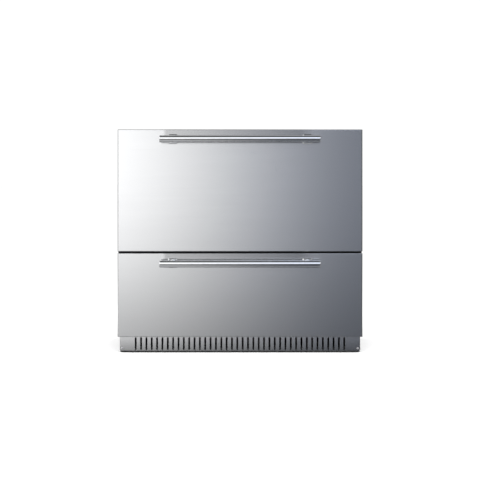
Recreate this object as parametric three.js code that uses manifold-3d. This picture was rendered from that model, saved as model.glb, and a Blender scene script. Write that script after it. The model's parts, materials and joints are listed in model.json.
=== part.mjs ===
// Undercounter refrigerator with two full-extension drawers, a front-breathing kick plate and a
// machine compartment at the lower rear.
//
// Millimetres, +Z up. The drawer fronts face -Y, and the origin is on the floor under the middle of
// the whole object. Inside the file every piece is placed from the cabinet's front plane: y = 0 is
// the plane that the drawer gaskets close against, and +y runs back into the cabinet.

import * as THREE from "three";
import { mergeVertices } from "three/addons/utils/BufferGeometryUtils.js";
import Module from "manifold-3d";

const wasm = await Module();
wasm.setup();

// ---------------------------------------------------------------- driving dimensions

const FIT = 0.3; // gap between pieces that touch

// Cabinet
const BODY_WIDTH = 889;
const BODY_DEPTH = 552; // behind the plane that the gaskets close against
const SHEET = 1; // cabinet sheet steel
const SHEET_BEND = 0.6; // inside radius of its folds
const FRAME_FLANGE = 24; // steel face around the opening, which the gaskets grip
const REAR_FLANGE = 14;
const SIDE_BOTTOM = 8; // lower edge of the side panels above the floor
const WALL = 47.5; // side wall, from its outer face to the liner's inner face
const TOP_WALL = 42;
const BACK_WALL = 45;
const FLOOR_WALL = 36;
const STEP_WALL = 35; // insulation around the machine compartment
const MACHINE_DEPTH = 195;
const MACHINE_HEIGHT = 239.7; // from the base pan to the machine compartment's ceiling
const LINER = 2.5;
const LINER_CORNER = 10;
const MULLION_HEIGHT = 46;
const MULLION_DEPTH = 40;
const MULLION_SHEET = 1.2;
const MULLION_LIP = 8;

// Drawer fronts
const FRONT_OVERHANG = 5.5; // past each side of the cabinet
const UPPER_FRONT_HEIGHT = 448.8;
const LOWER_FRONT_HEIGHT = 307.7;
const FRONT_GAP = 5.6;
const FRONT_THICKNESS = 42;
const FRONT_SKIN = 1;
const FRONT_SIDE_RADIUS = 5; // rounding of the two upright edges
const FRONT_END_RADIUS = 2.5; // rounding of the upper and lower edges
const FRONT_RETURN = 5; // fold that holds the foamed core in the skin
const GASKET_THICKNESS = 6;
const GASKET_WIDTH = 14;
const PLUG_DEPTH = 12; // the core's raised middle, which enters the opening
const PLUG_CLEARANCE = 8;
const PLUG_RADIUS = 5;

// Handles
const BAR_LENGTH = 586;
const BAR_RADIUS = 12.7;
const BAR_CHAMFER = 2.5;
const BAR_STANDOFF = 62; // from the drawer's face to the bar's axis
const BAR_DROP = 36; // from the drawer's upper edge to the bar's axis
const POST_INSET = 46; // from each end of the bar
const POST_RADIUS = 9.5;
const POST_FLANGE_RADIUS = 18.5;
const POST_FLANGE_THICKNESS = 7;

// Drawer boxes
const BOX_SHEET = 1.2;
const BOX_CORNER = 14;
const BOX_FOOT_RADIUS = 5;
const BOX_RIM = 5; // rolled rim around the top
const BOX_RIM_HEIGHT = 9;
const BOX_FLOOR_CLEARANCE = 6;
const UPPER_BOX_HEIGHT = 236;
const LOWER_BOX_HEIGHT = 182;
const BOX_REAR_CLEARANCE = 14;

// Telescopic slides
const SLIDE_SETBACK = 2; // front end behind the core's raised middle
const SLIDE_RISE = 60; // slide's middle above the drawer box's underside
const UPPER_SLIDE_LENGTH = 400;
const LOWER_SLIDE_CLEARANCE = 18; // behind the lower slides
const RAIL_SHEET = 1.2;
const RAIL_BEND = 0.8;
const OUTER_RAIL_HEIGHT = 45.6;
const OUTER_RAIL_WIDTH = 10;
const OUTER_RAIL_LIP = 3.6;
const SLIDE_WIDTH = 12.4; // all three rails, nested
const BALL_RADIUS = 2.1;
const BALL_SEAT = 0.15; // depth of the groove that each ball lies in
const BALLS_PER_ROW = 2;
const BALL_PITCH = 60;
const RAIL_HOLE_RADIUS = 3.2;

// Base, kick plate and feet
const KICK_INSET = 1.5; // from each side of the cabinet
const KICK_BOTTOM = 6;
const KICK_HEIGHT = 52.8;
const KICK_CLEARANCE = 2.1; // below the lower drawer's front
const KICK_DEPTH = 12;
const KICK_SHEET = 1.2;
const KICK_EDGE_RADIUS = 2.5;
const KICK_CORNER_RADIUS = 6;
const SLOT_COUNT = 40;
const SLOT_END_MARGIN = 58; // from each end of the kick plate to the first slot
const SLOT_WIDTH = 6;
const SLOT_BOTTOM = 10.6;
const SLOT_TOP_MARGIN = 3.2; // from the slots' upper ends to the kick plate's upper edge
const KICK_SCREW_INSET = 8.5;
const KICK_SCREW_HEIGHT = 15;
const SCREW_RADIUS = 2;
const SCREW_HEAD_RADIUS = 4;
const BASE_SHEET = 1.2;
const BASE_TOP = 22;
const BASE_BOTTOM = 1.5;
const FOOT_RADIUS = 22;
const FOOT_PAD_HEIGHT = 9;
const FOOT_STUD_RADIUS = 5;
const FOOT_STUD_TOP = 52;
const FOOT_INSET_X = 49.5;
const FOOT_INSET_Y = 50;

// Machine compartment
const COVER_DEPTH = 10;
const LOUVRE_ROWS = 6;
const LOUVRE_COLUMNS = 3;
const LOUVRE_LENGTH = 170;
const LOUVRE_HEIGHT = 6;
const LOUVRE_GAP = 50; // between columns
const LOUVRE_RISE = 36; // from the cover's lower edge to the first row
const LOUVRE_TOP_MARGIN = 24;
const GLAND_RADIUS = 9;
const GLAND_INSET = 60;
const GLAND_HEIGHT = 40;
const COMPRESSOR_INSET = 204.5; // from the cabinet's right side to its axis
const COMPRESSOR_RADIUS = 75;
const COMPRESSOR_HEIGHT = 165;
const COMPRESSOR_SEAM = 4;
const COMPRESSOR_PLATE_LENGTH = 196;
const COMPRESSOR_PLATE_WIDTH = 124;
const COMPRESSOR_PLATE = 4;
const GROMMET_HEIGHT = 9;
const GROMMET_RADIUS = 11;
const GROMMET_INSET = 16;
const TERMINAL_BOX_WIDTH = 56;
const TERMINAL_BOX_HEIGHT = 60;
const TERMINAL_BOX_DEPTH = 26;
const DRAIN_PAN_HEIGHT = 28;
const DRAIN_PAN_LENGTH = 156;
const DRAIN_PAN_WIDTH = 132;
const DRAIN_PAN_SHELL = 2;
const CONDENSER_SPACING = 260; // from the compressor's axis to the condenser's middle
const CONDENSER_THICKNESS = 60;
const CONDENSER_CLEARANCE = 5; // from its return bends to the compartment's walls
const CONDENSER_ROWS = 4;
const CONDENSER_HEIGHT = 180;
const CONDENSER_FINS = 17;
const CONDENSER_FAN_SIZE = 150;
const CONDENSER_FAN_DEPTH = 32;
const RETURN_BEND_LEAD = 4;
const TUBE_RADIUS = 3;
const TUBE_TOP_CLEARANCE = 18; // from the condenser's top to the discharge line
const DRIER_RADIUS = 9;
const DRIER_LENGTH = 90;
const DRIER_SETOFF = 34; // from the condenser
const DRIER_RISE = 52;
const DRIER_TAPER = 12;

// Evaporator
const EVAPORATOR_COVER_WIDTH = 540;
const EVAPORATOR_COVER_DEPTH = 64;
const EVAPORATOR_COVER_MARGIN = 10;
const EVAPORATOR_COVER_SHELL = 2.5;
const EVAPORATOR_WIDTH = 400;
const EVAPORATOR_HEIGHT = 170;
const EVAPORATOR_DEPTH = 42;
const EVAPORATOR_FINS = 18;
const EVAPORATOR_ROWS = 3;
const EVAPORATOR_RISE = 84; // above the cover's lower edge
const EVAPORATOR_FAN_SIZE = 120;
const EVAPORATOR_FAN_DEPTH = 25;
const RETURN_SLOTS = 8;
const RETURN_SLOT_WIDTH = 9;
const RETURN_SLOT_LENGTH = 46;
const RETURN_SLOT_RISE = 24; // above the cover's lower edge
const RETURN_SLOT_MARGIN = 60; // from each side of the cover to the first slot
const OUTLET_SLOTS = 5;
const OUTLET_PITCH = 18;
const OUTLET_SLOT_HEIGHT = 6;
const OUTLET_MARGIN = 22; // from the cover's upper edge to the fan

// Lights and controls
const LED_DEPTH = 22;
const LED_HEIGHT = 9;
const LED_LENGTH = 420;
const LED_CHAMFER = 3;
const LED_SETBACK = 20; // behind the control bezel
const BEZEL_WIDTH = 170;
const BEZEL_FRONT = 28;
const BEZEL_DEPTH = 64;
const BEZEL_NOSE = 12;
const BEZEL_HEIGHT = 38;
const BEZEL_SLOPE = 32; // horizontal run of its tilted face
const BUTTON_RADIUS = 6;
const BUTTON_PROUD = 1.8;
const BUTTON_DEPTH = 4.5;
const BUTTON_TRAVEL = 1.2;

// ---------------------------------------------------------------- places worked out from them

const bodyHalf = BODY_WIDTH / 2;
const frontHalf = bodyHalf + FRONT_OVERHANG;
const kickHalf = bodyHalf - KICK_INSET;
const insideHalf = bodyHalf - SHEET - FIT; // what fits between the side panels
const linerHalf = bodyHalf - WALL;
const kickTop = KICK_BOTTOM + KICK_HEIGHT;
const lowerFrontBottom = kickTop + KICK_CLEARANCE;
const upperFrontBottom = lowerFrontBottom + LOWER_FRONT_HEIGHT + FRONT_GAP;
const totalHeight = upperFrontBottom + UPPER_FRONT_HEIGHT;
const topInside = totalHeight - SHEET - FIT;
const ceiling = totalHeight - TOP_WALL;
const rearFlangeY = BODY_DEPTH - SHEET - FIT; // rear face of the side panels' rear folds
const interiorRear = rearFlangeY - SHEET - FIT;
const linerBack = BODY_DEPTH - BACK_WALL;
const machineFront = BODY_DEPTH - MACHINE_DEPTH;
const stepFront = machineFront - STEP_WALL;
const machineFloor = BASE_TOP + FIT;
const machineTop = machineFloor + MACHINE_HEIGHT;
const stepTop = machineTop + STEP_WALL;
const underside = kickTop + 2 * FIT; // lower face of the insulated floor
const sillTop = underside + FRAME_FLANGE;
const floorTop = underside + FLOOR_WALL;
const mullionMiddle = upperFrontBottom - FRONT_GAP / 2;
const mullionBottom = mullionMiddle - MULLION_HEIGHT / 2;
const mullionTop = mullionMiddle + MULLION_HEIGHT / 2;

const frontRear = -GASKET_THICKNESS; // y of the drawer fronts' rear plane
const frontFace = frontRear - FRONT_THICKNESS;
const barAxisY = frontFace - BAR_STANDOFF;
const objectFront = barAxisY - BAR_RADIUS;
const plugEnd = PLUG_DEPTH;
const slideStart = plugEnd + SLIDE_SETBACK;

const railFace = linerHalf - FIT; // where the outer rails meet the liner's wall
const boxHalf = railFace - SLIDE_WIDTH - FIT;
const boxFront = plugEnd + FIT;
const evaporatorCoverFace = linerBack - FIT - EVAPORATOR_COVER_DEPTH;

const DRAWERS = [
  {
    name: "upper",
    bottom: upperFrontBottom,
    height: UPPER_FRONT_HEIGHT,
    plug: [mullionTop + PLUG_CLEARANCE, ceiling - PLUG_CLEARANCE],
    boxBottom: mullionTop + BOX_FLOOR_CLEARANCE,
    boxHeight: UPPER_BOX_HEIGHT,
    boxRear: evaporatorCoverFace - BOX_REAR_CLEARANCE,
    slide: UPPER_SLIDE_LENGTH,
  },
  {
    name: "lower",
    bottom: lowerFrontBottom,
    height: LOWER_FRONT_HEIGHT,
    plug: [floorTop + PLUG_CLEARANCE, mullionBottom - PLUG_CLEARANCE],
    boxBottom: floorTop + BOX_FLOOR_CLEARANCE,
    boxHeight: LOWER_BOX_HEIGHT,
    boxRear: stepFront - BOX_REAR_CLEARANCE,
    slide: stepFront - LOWER_SLIDE_CLEARANCE - slideStart,
  },
];
const SIDES = [
  { name: "left", sign: -1 },
  { name: "right", sign: 1 },
];

// ---------------------------------------------------------------- materials

function finish(colour, roughness, metalness) {
  return new THREE.MeshStandardMaterial({ color: colour, roughness, metalness });
}
const brushedSteel = finish(0xb4b6ba, 0.34, 1);
const polishedSteel = finish(0xd2d4d8, 0.16, 1);
const railSteel = finish(0xa9acaf, 0.38, 1);
const blackSteel = finish(0x17181a, 0.5, 0.2);
const galvanised = finish(0x9aa0a2, 0.5, 0.9);
const linerPlastic = finish(0xe6e9ea, 0.42, 0);
const foam = finish(0xe2d3a0, 0.9, 0);
const blackRubber = finish(0x161617, 0.75, 0);
const blackPlastic = finish(0x1c1d20, 0.4, 0);
const copper = finish(0xb8714b, 0.35, 1);
const aluminium = finish(0xc6c9cb, 0.4, 1);
const blackEnamel = finish(0x0f1012, 0.3, 0.1);
const lightLens = finish(0xf3f6f8, 0.25, 0);
const buttonPlastic = finish(0xc9ccd0, 0.35, 0);

// ---------------------------------------------------------------- solids

// A manifold solid from any closed three.js geometry.
function solid(geometry) {
  const bare = new THREE.BufferGeometry();
  bare.setAttribute("position", geometry.getAttribute("position"));
  if (geometry.index) bare.setIndex(geometry.index);
  const merged = mergeVertices(bare, 1e-4);
  const corners = merged.index.array;
  const kept = [];
  for (let i = 0; i < corners.length; i += 3) {
    const [a, b, c] = [corners[i], corners[i + 1], corners[i + 2]];
    if (a !== b && b !== c && c !== a) kept.push(a, b, c);
  }
  const make = (order) =>
    new wasm.Manifold(
      new wasm.Mesh({
        numProp: 3,
        vertProperties: merged.attributes.position.array,
        triVerts: new Uint32Array(order),
      }),
    );
  const made = make(kept);
  return made.volume() > 0 ? made : make(kept.reverse());
}

// The three.js geometry of a manifold solid.
function geometryOf(made) {
  const { numProp, numVert, vertProperties, triVerts } = made.getMesh();
  const position = new Float32Array(numVert * 3);
  for (let i = 0; i < numVert; i++) {
    position.set(vertProperties.subarray(i * numProp, i * numProp + 3), i * 3);
  }
  const geometry = new THREE.BufferGeometry();
  geometry.setAttribute("position", new THREE.BufferAttribute(position, 3));
  geometry.setIndex(new THREE.BufferAttribute(triVerts, 1));
  const flat = geometry.toNonIndexed();
  flat.computeVertexNormals();
  return flat;
}

function piece(name, made, material, place = [0, 0, 0]) {
  const mesh = new THREE.Mesh(geometryOf(made), material);
  mesh.name = name;
  mesh.position.set(...place);
  return mesh;
}

function joined(parts) {
  return parts.reduce((whole, part) => whole.add(part));
}

function cut(whole, parts) {
  return whole.subtract(joined(parts));
}

const X = new THREE.Vector3(1, 0, 0);
const Y = new THREE.Vector3(0, 1, 0);
const Z = new THREE.Vector3(0, 0, 1);

// Flat outlines are pairs of numbers: (y, z) across x, (x, z) across y and (x, y) across z.
const ACROSS = {
  x: new THREE.Matrix4().makeBasis(Y, Z, X),
  y: new THREE.Matrix4().makeBasis(X, Z, Y.clone().negate()),
  z: new THREE.Matrix4().makeBasis(X, Y, Z),
};

// An outline pushed along an axis from one place to another.
function prism(axis, outline, from, to) {
  const shape = new THREE.Shape(outline.map(([a, b]) => new THREE.Vector2(a, b)));
  const geometry = new THREE.ExtrudeGeometry(shape, {
    depth: to - from,
    bevelEnabled: false,
  });
  geometry.applyMatrix4(ACROSS[axis]);
  const start = { x: X, y: Y, z: Z }[axis].clone().multiplyScalar(axis === "y" ? to : from);
  return solid(geometry.translate(start.x, start.y, start.z));
}

function block(x, y, z) {
  return prism("z", rectangle(x[0], x[1], y[0], y[1]), z[0], z[1]);
}

function rectangle(a0, a1, b0, b1) {
  return [
    [a0, b0],
    [a1, b0],
    [a1, b1],
    [a0, b1],
  ];
}

// A rectangle with round corners. radii holds one radius, or the lower and the upper pair's.
function rounded(a0, a1, b0, b1, radii, steps = 3) {
  const [low, high] = Array.isArray(radii) ? radii : [radii, radii];
  const corners = [
    [a1 - low, b0 + low, low, -Math.PI / 2],
    [a1 - high, b1 - high, high, 0],
    [a0 + high, b1 - high, high, Math.PI / 2],
    [a0 + low, b0 + low, low, Math.PI],
  ];
  return corners.flatMap(([a, b, radius, start]) =>
    Array.from({ length: steps + 1 }, (_, i) => {
      const angle = start + (i / steps) * (Math.PI / 2);
      return [a + radius * Math.cos(angle), b + radius * Math.sin(angle)];
    }),
  );
}

// A slot with round ends, its long way along the second direction.
function stadium(a, b0, b1, width, steps = 3) {
  const radius = width / 2;
  const end = (b, start) =>
    Array.from({ length: steps + 1 }, (_, i) => {
      const angle = start + (i / steps) * Math.PI;
      return [a + radius * Math.cos(angle), b + radius * Math.sin(angle)];
    });
  return [...end(b1 - radius, 0), ...end(b0 + radius, Math.PI)];
}

function circle(a, b, radius, sides) {
  return Array.from({ length: sides }, (_, i) => {
    const angle = (i / sides) * 2 * Math.PI;
    return [a + radius * Math.cos(angle), b + radius * Math.sin(angle)];
  });
}

function ringAt(axis, outline, at) {
  const place = {
    x: ([a, b]) => new THREE.Vector3(at, a, b),
    y: ([a, b]) => new THREE.Vector3(a, at, b),
    z: ([a, b]) => new THREE.Vector3(a, b, at),
  };
  return outline.map(place[axis]);
}

// One closed surface through rings of equally many points. Its ends are capped unless it closes
// on itself.
function loft(rings, closed = false) {
  const n = rings[0].length;
  const index = [];
  for (let r = 0; r < rings.length - (closed ? 0 : 1); r++) {
    const a = r * n;
    const b = ((r + 1) % rings.length) * n;
    for (let i = 0; i < n; i++) {
      const j = (i + 1) % n;
      index.push(a + i, a + j, b + j, a + i, b + j, b + i);
    }
  }
  const last = (rings.length - 1) * n;
  for (let i = 1; i < n - 1 && !closed; i++) {
    index.push(0, i + 1, i, last, last + i, last + i + 1);
  }
  const geometry = new THREE.BufferGeometry();
  const position = rings.flat().flatMap((point) => point.toArray());
  geometry.setAttribute("position", new THREE.Float32BufferAttribute(position, 3));
  geometry.setIndex(index);
  return solid(geometry);
}

const TURNED = {
  x: new THREE.Matrix4().makeBasis(Y.clone().negate(), X, Z),
  y: new THREE.Matrix4().makeBasis(X, Y, Z),
  z: new THREE.Matrix4().makeBasis(X, Z, Y.clone().negate()),
};

// A profile of [radius, height] pairs turned about an axis through a point.
function turned(axis, profile, sides, centre = [0, 0, 0]) {
  const points = profile.map(([radius, height]) => new THREE.Vector2(radius, height));
  const geometry = new THREE.LatheGeometry(points, sides);
  geometry.applyMatrix4(TURNED[axis]);
  return solid(geometry.translate(...centre));
}

function rod(axis, radius, from, to, centre, sides = 16) {
  const profile = [
    [0, from],
    [radius, from],
    [radius, to],
    [0, to],
  ];
  return turned(axis, profile, sides, centre);
}

// The outline of a sheet that follows a line of straight runs with round bends between them.
function bentSheet(line, thickness, insideRadius, steps = 3) {
  const half = thickness / 2;
  const radius = insideRadius + half;
  const points = line.map(([a, b]) => new THREE.Vector2(a, b));
  const runs = points.slice(1).map((p, i) => p.clone().sub(points[i]).normalize());
  const left = [];
  const right = [];
  const put = (middle, outward, side) => {
    left.push(middle.clone().addScaledVector(outward, -side * half));
    right.push(middle.clone().addScaledVector(outward, side * half));
  };
  const normal = (run) => new THREE.Vector2(-run.y, run.x);
  put(points[0], normal(runs[0]), -1);
  for (let k = 1; k < points.length - 1; k++) {
    const [before, after] = [runs[k - 1], runs[k]];
    const turn = Math.atan2(before.cross(after), before.dot(after));
    const side = Math.sign(turn);
    const start = points[k].clone().addScaledVector(before, -radius * Math.tan(Math.abs(turn) / 2));
    const centre = start.clone().addScaledVector(normal(before), side * radius);
    for (let i = 0; i <= steps; i++) {
      const outward = normal(before)
        .multiplyScalar(-side)
        .rotateAround(new THREE.Vector2(), (turn * i) / steps);
      put(centre.clone().addScaledVector(outward, radius), outward, side);
    }
  }
  put(points.at(-1), normal(runs.at(-1)), -1);
  return [...right, ...left.reverse()].map((p) => p.toArray());
}

// A round tube along a smooth line through points.
function tube(points, radius, steps, sides = 6) {
  const line = new THREE.CatmullRomCurve3(points.map((p) => new THREE.Vector3(...p)), false, "centripetal");
  const shape = new THREE.Shape(circle(0, 0, radius, sides).map(([a, b]) => new THREE.Vector2(a, b)));
  const geometry = new THREE.ExtrudeGeometry(shape, { steps, extrudePath: line, bevelEnabled: false });
  return solid(geometry);
}

// ---------------------------------------------------------------- cabinet shell

// One side panel: a sheet with a steel face folded in at the front and a fold at the rear.
function sidePanel({ name, sign }) {
  const web = bodyHalf - SHEET / 2;
  const line = [
    [web - FRAME_FLANGE + SHEET / 2, SHEET / 2],
    [web, SHEET / 2],
    [web, rearFlangeY - SHEET / 2],
    [web - REAR_FLANGE, rearFlangeY - SHEET / 2],
  ].map(([x, y]) => [sign * x, y]);
  const sheet = prism("z", bentSheet(line, SHEET, SHEET_BEND), SIDE_BOTTOM, totalHeight);
  // The top panel takes the place of both folds at the upper end.
  const inner = [bodyHalf - FRAME_FLANGE - SHEET, insideHalf + FIT].map((x) => sign * x);
  const notch = block(
    inner.sort((a, b) => a - b),
    [-SHEET, BODY_DEPTH],
    [totalHeight - FRAME_FLANGE - FIT, totalHeight + SHEET],
  );
  const screwHole = rod("y", SCREW_RADIUS + FIT, -SHEET, 2 * SHEET, [
    sign * (kickHalf - KICK_SCREW_INSET),
    0,
    KICK_SCREW_HEIGHT,
  ], 12);
  return piece(`side_panel_${name}`, cut(sheet, [notch, screwHole]), blackSteel);
}

function topPanel() {
  const web = totalHeight - SHEET / 2;
  const line = [
    [SHEET / 2, totalHeight - FRAME_FLANGE],
    [SHEET / 2, web],
    [rearFlangeY - SHEET / 2, web],
    [rearFlangeY - SHEET / 2, totalHeight - REAR_FLANGE],
  ];
  const sheet = prism("x", bentSheet(line, SHEET, SHEET_BEND), -insideHalf, insideHalf);
  return piece("top_panel", sheet, blackSteel);
}

function backPanel() {
  const outline = rounded(-bodyHalf, bodyHalf, machineTop + SHEET, totalHeight, 3);
  return piece("back_panel", prism("y", outline, BODY_DEPTH - SHEET, BODY_DEPTH), galvanised);
}

// The sheet under the insulation: the sill that the lower gasket grips, the floor, and the riser
// and ceiling of the machine compartment.
function bottomPanel() {
  const line = [
    [SHEET / 2, sillTop],
    [SHEET / 2, underside + SHEET / 2],
    [machineFront - SHEET / 2, underside + SHEET / 2],
    [machineFront - SHEET / 2, machineTop + SHEET / 2],
    [interiorRear, machineTop + SHEET / 2],
  ];
  const sheet = prism("x", bentSheet(line, SHEET, SHEET_BEND), -insideHalf, insideHalf);
  const notches = SIDES.map(({ sign }) =>
    block(
      [sign * (bodyHalf - FRAME_FLANGE - FIT), sign * bodyHalf].sort((a, b) => a - b),
      [-SHEET, SHEET + FIT],
      [0, sillTop + SHEET],
    ),
  );
  return piece("bottom_panel", cut(sheet, notches), galvanised);
}

// The stepped hollow inside the liner, as an outline of (y, z) grown by a margin.
function cavityOutline(margin, front) {
  const corner = Math.max(LINER_CORNER + margin, 1);
  const arc = (y, z, start, radius, turn = 1) =>
    Array.from({ length: 4 }, (_, i) => {
      const angle = start + turn * (i / 3) * (Math.PI / 2);
      return [y + radius * Math.cos(angle), z + radius * Math.sin(angle)];
    });
  const back = linerBack + margin;
  const top = ceiling + margin;
  const bottom = floorTop - margin;
  const riser = stepFront + margin;
  const step = stepTop - margin;
  return [
    [front, bottom],
    ...arc(riser - corner, bottom + corner, -Math.PI / 2, corner),
    [riser, step],
    ...arc(back - corner, step + corner, -Math.PI / 2, corner),
    ...arc(back - corner, top - corner, 0, corner),
    [front, top],
  ];
}

function liner() {
  const shell = prism("x", cavityOutline(LINER, 0), -linerHalf - LINER, linerHalf + LINER);
  const face = bodyHalf - FRAME_FLANGE - FIT;
  const flange = block(
    [-face, face],
    [0, LINER],
    [sillTop + FIT, totalHeight - FRAME_FLANGE - FIT],
  );
  const hollow = prism("x", cavityOutline(0, -SHEET), -linerHalf, linerHalf);
  return piece("inner_liner", shell.add(flange).subtract(hollow), linerPlastic);
}

function insulation() {
  const front = LINER + FIT;
  const outline = [
    [front, underside + SHEET + FIT],
    [machineFront - SHEET - FIT, underside + SHEET + FIT],
    [machineFront - SHEET - FIT, machineTop + SHEET + FIT],
    [interiorRear, machineTop + SHEET + FIT],
    [interiorRear, topInside],
    [front, topInside],
  ];
  const body = prism("x", outline, -insideHalf, insideHalf);
  const hollow = prism(
    "x",
    cavityOutline(LINER + FIT, 0),
    -linerHalf - LINER - FIT,
    linerHalf + LINER + FIT,
  );
  return piece("insulation", body.subtract(hollow), foam);
}

// The bar between the two openings: a channel whose face both gaskets grip.
function mullion() {
  const half = MULLION_SHEET / 2;
  const line = [
    [MULLION_DEPTH - half, mullionBottom + MULLION_LIP],
    [MULLION_DEPTH - half, mullionBottom + half],
    [half, mullionBottom + half],
    [half, mullionTop - half],
    [MULLION_DEPTH - half, mullionTop - half],
    [MULLION_DEPTH - half, mullionTop - MULLION_LIP],
  ];
  const across = linerHalf - FIT;
  const channel = prism("x", bentSheet(line, MULLION_SHEET, SHEET_BEND), -across, across);
  return piece("mullion", channel, blackSteel);
}

// ---------------------------------------------------------------- base

// A sheet pan with round edges, opening along +axis from its closed face. bounds is [a0, a1, b0, b1].
function openPan(axis, bounds, closedAt, openAt, sheet, edge, corner, steps = 2) {
  const way = Math.sign(openAt - closedAt);
  const ring = (inset, at) => {
    const [a0, a1, b0, b1] = bounds;
    const radii = corner.map((radius) => Math.max(radius - inset, 0.2));
    return ringAt(axis, rounded(a0 + inset, a1 - inset, b0 + inset, b1 - inset, radii, steps), at);
  };
  const turns = Array.from({ length: steps + 1 }, (_, i) => (i / steps) * (Math.PI / 2));
  const round = (inset, radius, face) =>
    turns.map((angle) =>
      ring(inset + radius * (1 - Math.cos(angle)), face + way * radius * (1 - Math.sin(angle))),
    );
  return loft([
    ...round(0, edge, closedAt).reverse(),
    ring(0, openAt),
    ring(sheet, openAt),
    ...round(sheet, Math.max(edge - sheet, 0.3), closedAt + way * sheet),
  ]);
}

function basePan() {
  const bounds = [-insideHalf, insideHalf, SHEET + FIT, interiorRear];
  const pan = openPan("z", bounds, BASE_TOP, BASE_BOTTOM, BASE_SHEET, 2, [3, 3], 1);
  const studHoles = footPlaces().map(([, x, y]) =>
    rod("z", FOOT_STUD_RADIUS + FIT, BASE_BOTTOM, BASE_TOP + SHEET, [x, y, 0], 12),
  );
  const screwHoles = SIDES.map(({ sign }) =>
    rod("y", SCREW_RADIUS + FIT, 0, 4 * SHEET, [
      sign * (kickHalf - KICK_SCREW_INSET),
      0,
      KICK_SCREW_HEIGHT,
    ], 10),
  );
  return piece("base_pan", cut(pan, [...studHoles, ...screwHoles]), blackSteel);
}

// Shallow pan in front of the base with a row of air slots.
function kickPlate() {
  const half = kickHalf;
  const pan = openPan(
    "y",
    [-half, half, KICK_BOTTOM, kickTop],
    -KICK_DEPTH,
    -FIT,
    KICK_SHEET,
    KICK_EDGE_RADIUS,
    [KICK_CORNER_RADIUS, KICK_EDGE_RADIUS],
  );
  const first = SLOT_END_MARGIN - kickHalf;
  const pitch = (-2 * first) / (SLOT_COUNT - 1);
  const slots = Array.from({ length: SLOT_COUNT }, (_, i) =>
    prism(
      "y",
      stadium(first + i * pitch, SLOT_BOTTOM, kickTop - SLOT_TOP_MARGIN, SLOT_WIDTH),
      -KICK_DEPTH - SHEET,
      -KICK_DEPTH + KICK_SHEET + SHEET,
    ),
  );
  const screwHoles = SIDES.map(({ sign }) =>
    rod("y", SCREW_RADIUS + FIT, -SHEET, KICK_SHEET + SHEET, [
      sign * (half - KICK_SCREW_INSET),
      -KICK_DEPTH,
      KICK_SCREW_HEIGHT,
    ], 12),
  );
  return piece("kick_plate", cut(pan, [...slots, ...screwHoles]), brushedSteel);
}

function kickScrew({ name, sign }) {
  const profile = [
    [0, -2.2],
    [SCREW_HEAD_RADIUS * 0.6, -2.1],
    [SCREW_HEAD_RADIUS, -0.9],
    [SCREW_HEAD_RADIUS, 0],
    [SCREW_RADIUS, 0],
    [SCREW_RADIUS, KICK_DEPTH + 4],
    [0, KICK_DEPTH + 6],
  ];
  const screw = turned("y", profile, 10);
  return piece(`kick_screw_${name}`, screw, polishedSteel, [
    sign * (kickHalf - KICK_SCREW_INSET),
    -KICK_DEPTH - FIT,
    KICK_SCREW_HEIGHT,
  ]);
}

function footPlaces() {
  const rows = [
    ["front", FOOT_INSET_Y],
    ["rear", BODY_DEPTH - FOOT_INSET_Y],
  ];
  return rows.flatMap(([row, y]) =>
    SIDES.map(({ name, sign }) => [`${row}_${name}`, sign * (bodyHalf - FOOT_INSET_X), y]),
  );
}

// A screw-in foot: a pad on a stud that passes up through the base pan.
function levelingFoot([name, x, y]) {
  const pad = FOOT_PAD_HEIGHT;
  const profile = [
    [0, 0],
    [FOOT_RADIUS - 1, 0],
    [FOOT_RADIUS, 4],
    [FOOT_RADIUS * 0.5, pad],
    [FOOT_STUD_RADIUS, pad],
    [FOOT_STUD_RADIUS, FOOT_STUD_TOP - 1],
    [FOOT_STUD_RADIUS - 1, FOOT_STUD_TOP],
    [0, FOOT_STUD_TOP],
  ];
  return piece(`leveling_foot_${name}`, turned("z", profile, 10), galvanised, [x, y, 0]);
}

// ---------------------------------------------------------------- telescopic slides

const outerRaceFace = OUTER_RAIL_HEIGHT / 2 - RAIL_SHEET; // inner face of the outer rail's flange
const outerBallHeight = outerRaceFace - FIT - BALL_RADIUS;
const middleFlange = outerBallHeight - BALL_RADIUS + BALL_SEAT; // outer face of the middle rail's flange
const innerBallHeight = middleFlange - RAIL_SHEET + BALL_SEAT - BALL_RADIUS;
const innerFlange = innerBallHeight - BALL_RADIUS - FIT; // outer face of the inner rail's flange

// Rails are drawn as (u, v): u from the cabinet wall towards the drawer, v up from the middle.
function rail(name, line, length, sign, extras = []) {
  const outline = bentSheet(line, RAIL_SHEET, RAIL_BEND, 1).map(([u, v]) => [-sign * u, v]);
  const holes = [0.12, 0.88].map((share) =>
    rod("x", RAIL_HOLE_RADIUS, -SLIDE_WIDTH - SHEET, SLIDE_WIDTH + SHEET, [0, share * length, 0], 8),
  );
  const made = cut(prism("y", outline, 0, length), holes);
  return piece(name, joined([made, ...extras]), railSteel);
}

function outerRail(name, length, sign) {
  const half = RAIL_SHEET / 2;
  const top = OUTER_RAIL_HEIGHT / 2 - half;
  const edge = OUTER_RAIL_WIDTH - half;
  const upper = [
    [edge, top - OUTER_RAIL_LIP],
    [edge, top],
    [half, top],
  ];
  const lower = upper.map(([u, v]) => [u, -v]).reverse();
  return rail(name, [...upper, ...lower], length, sign);
}

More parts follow.
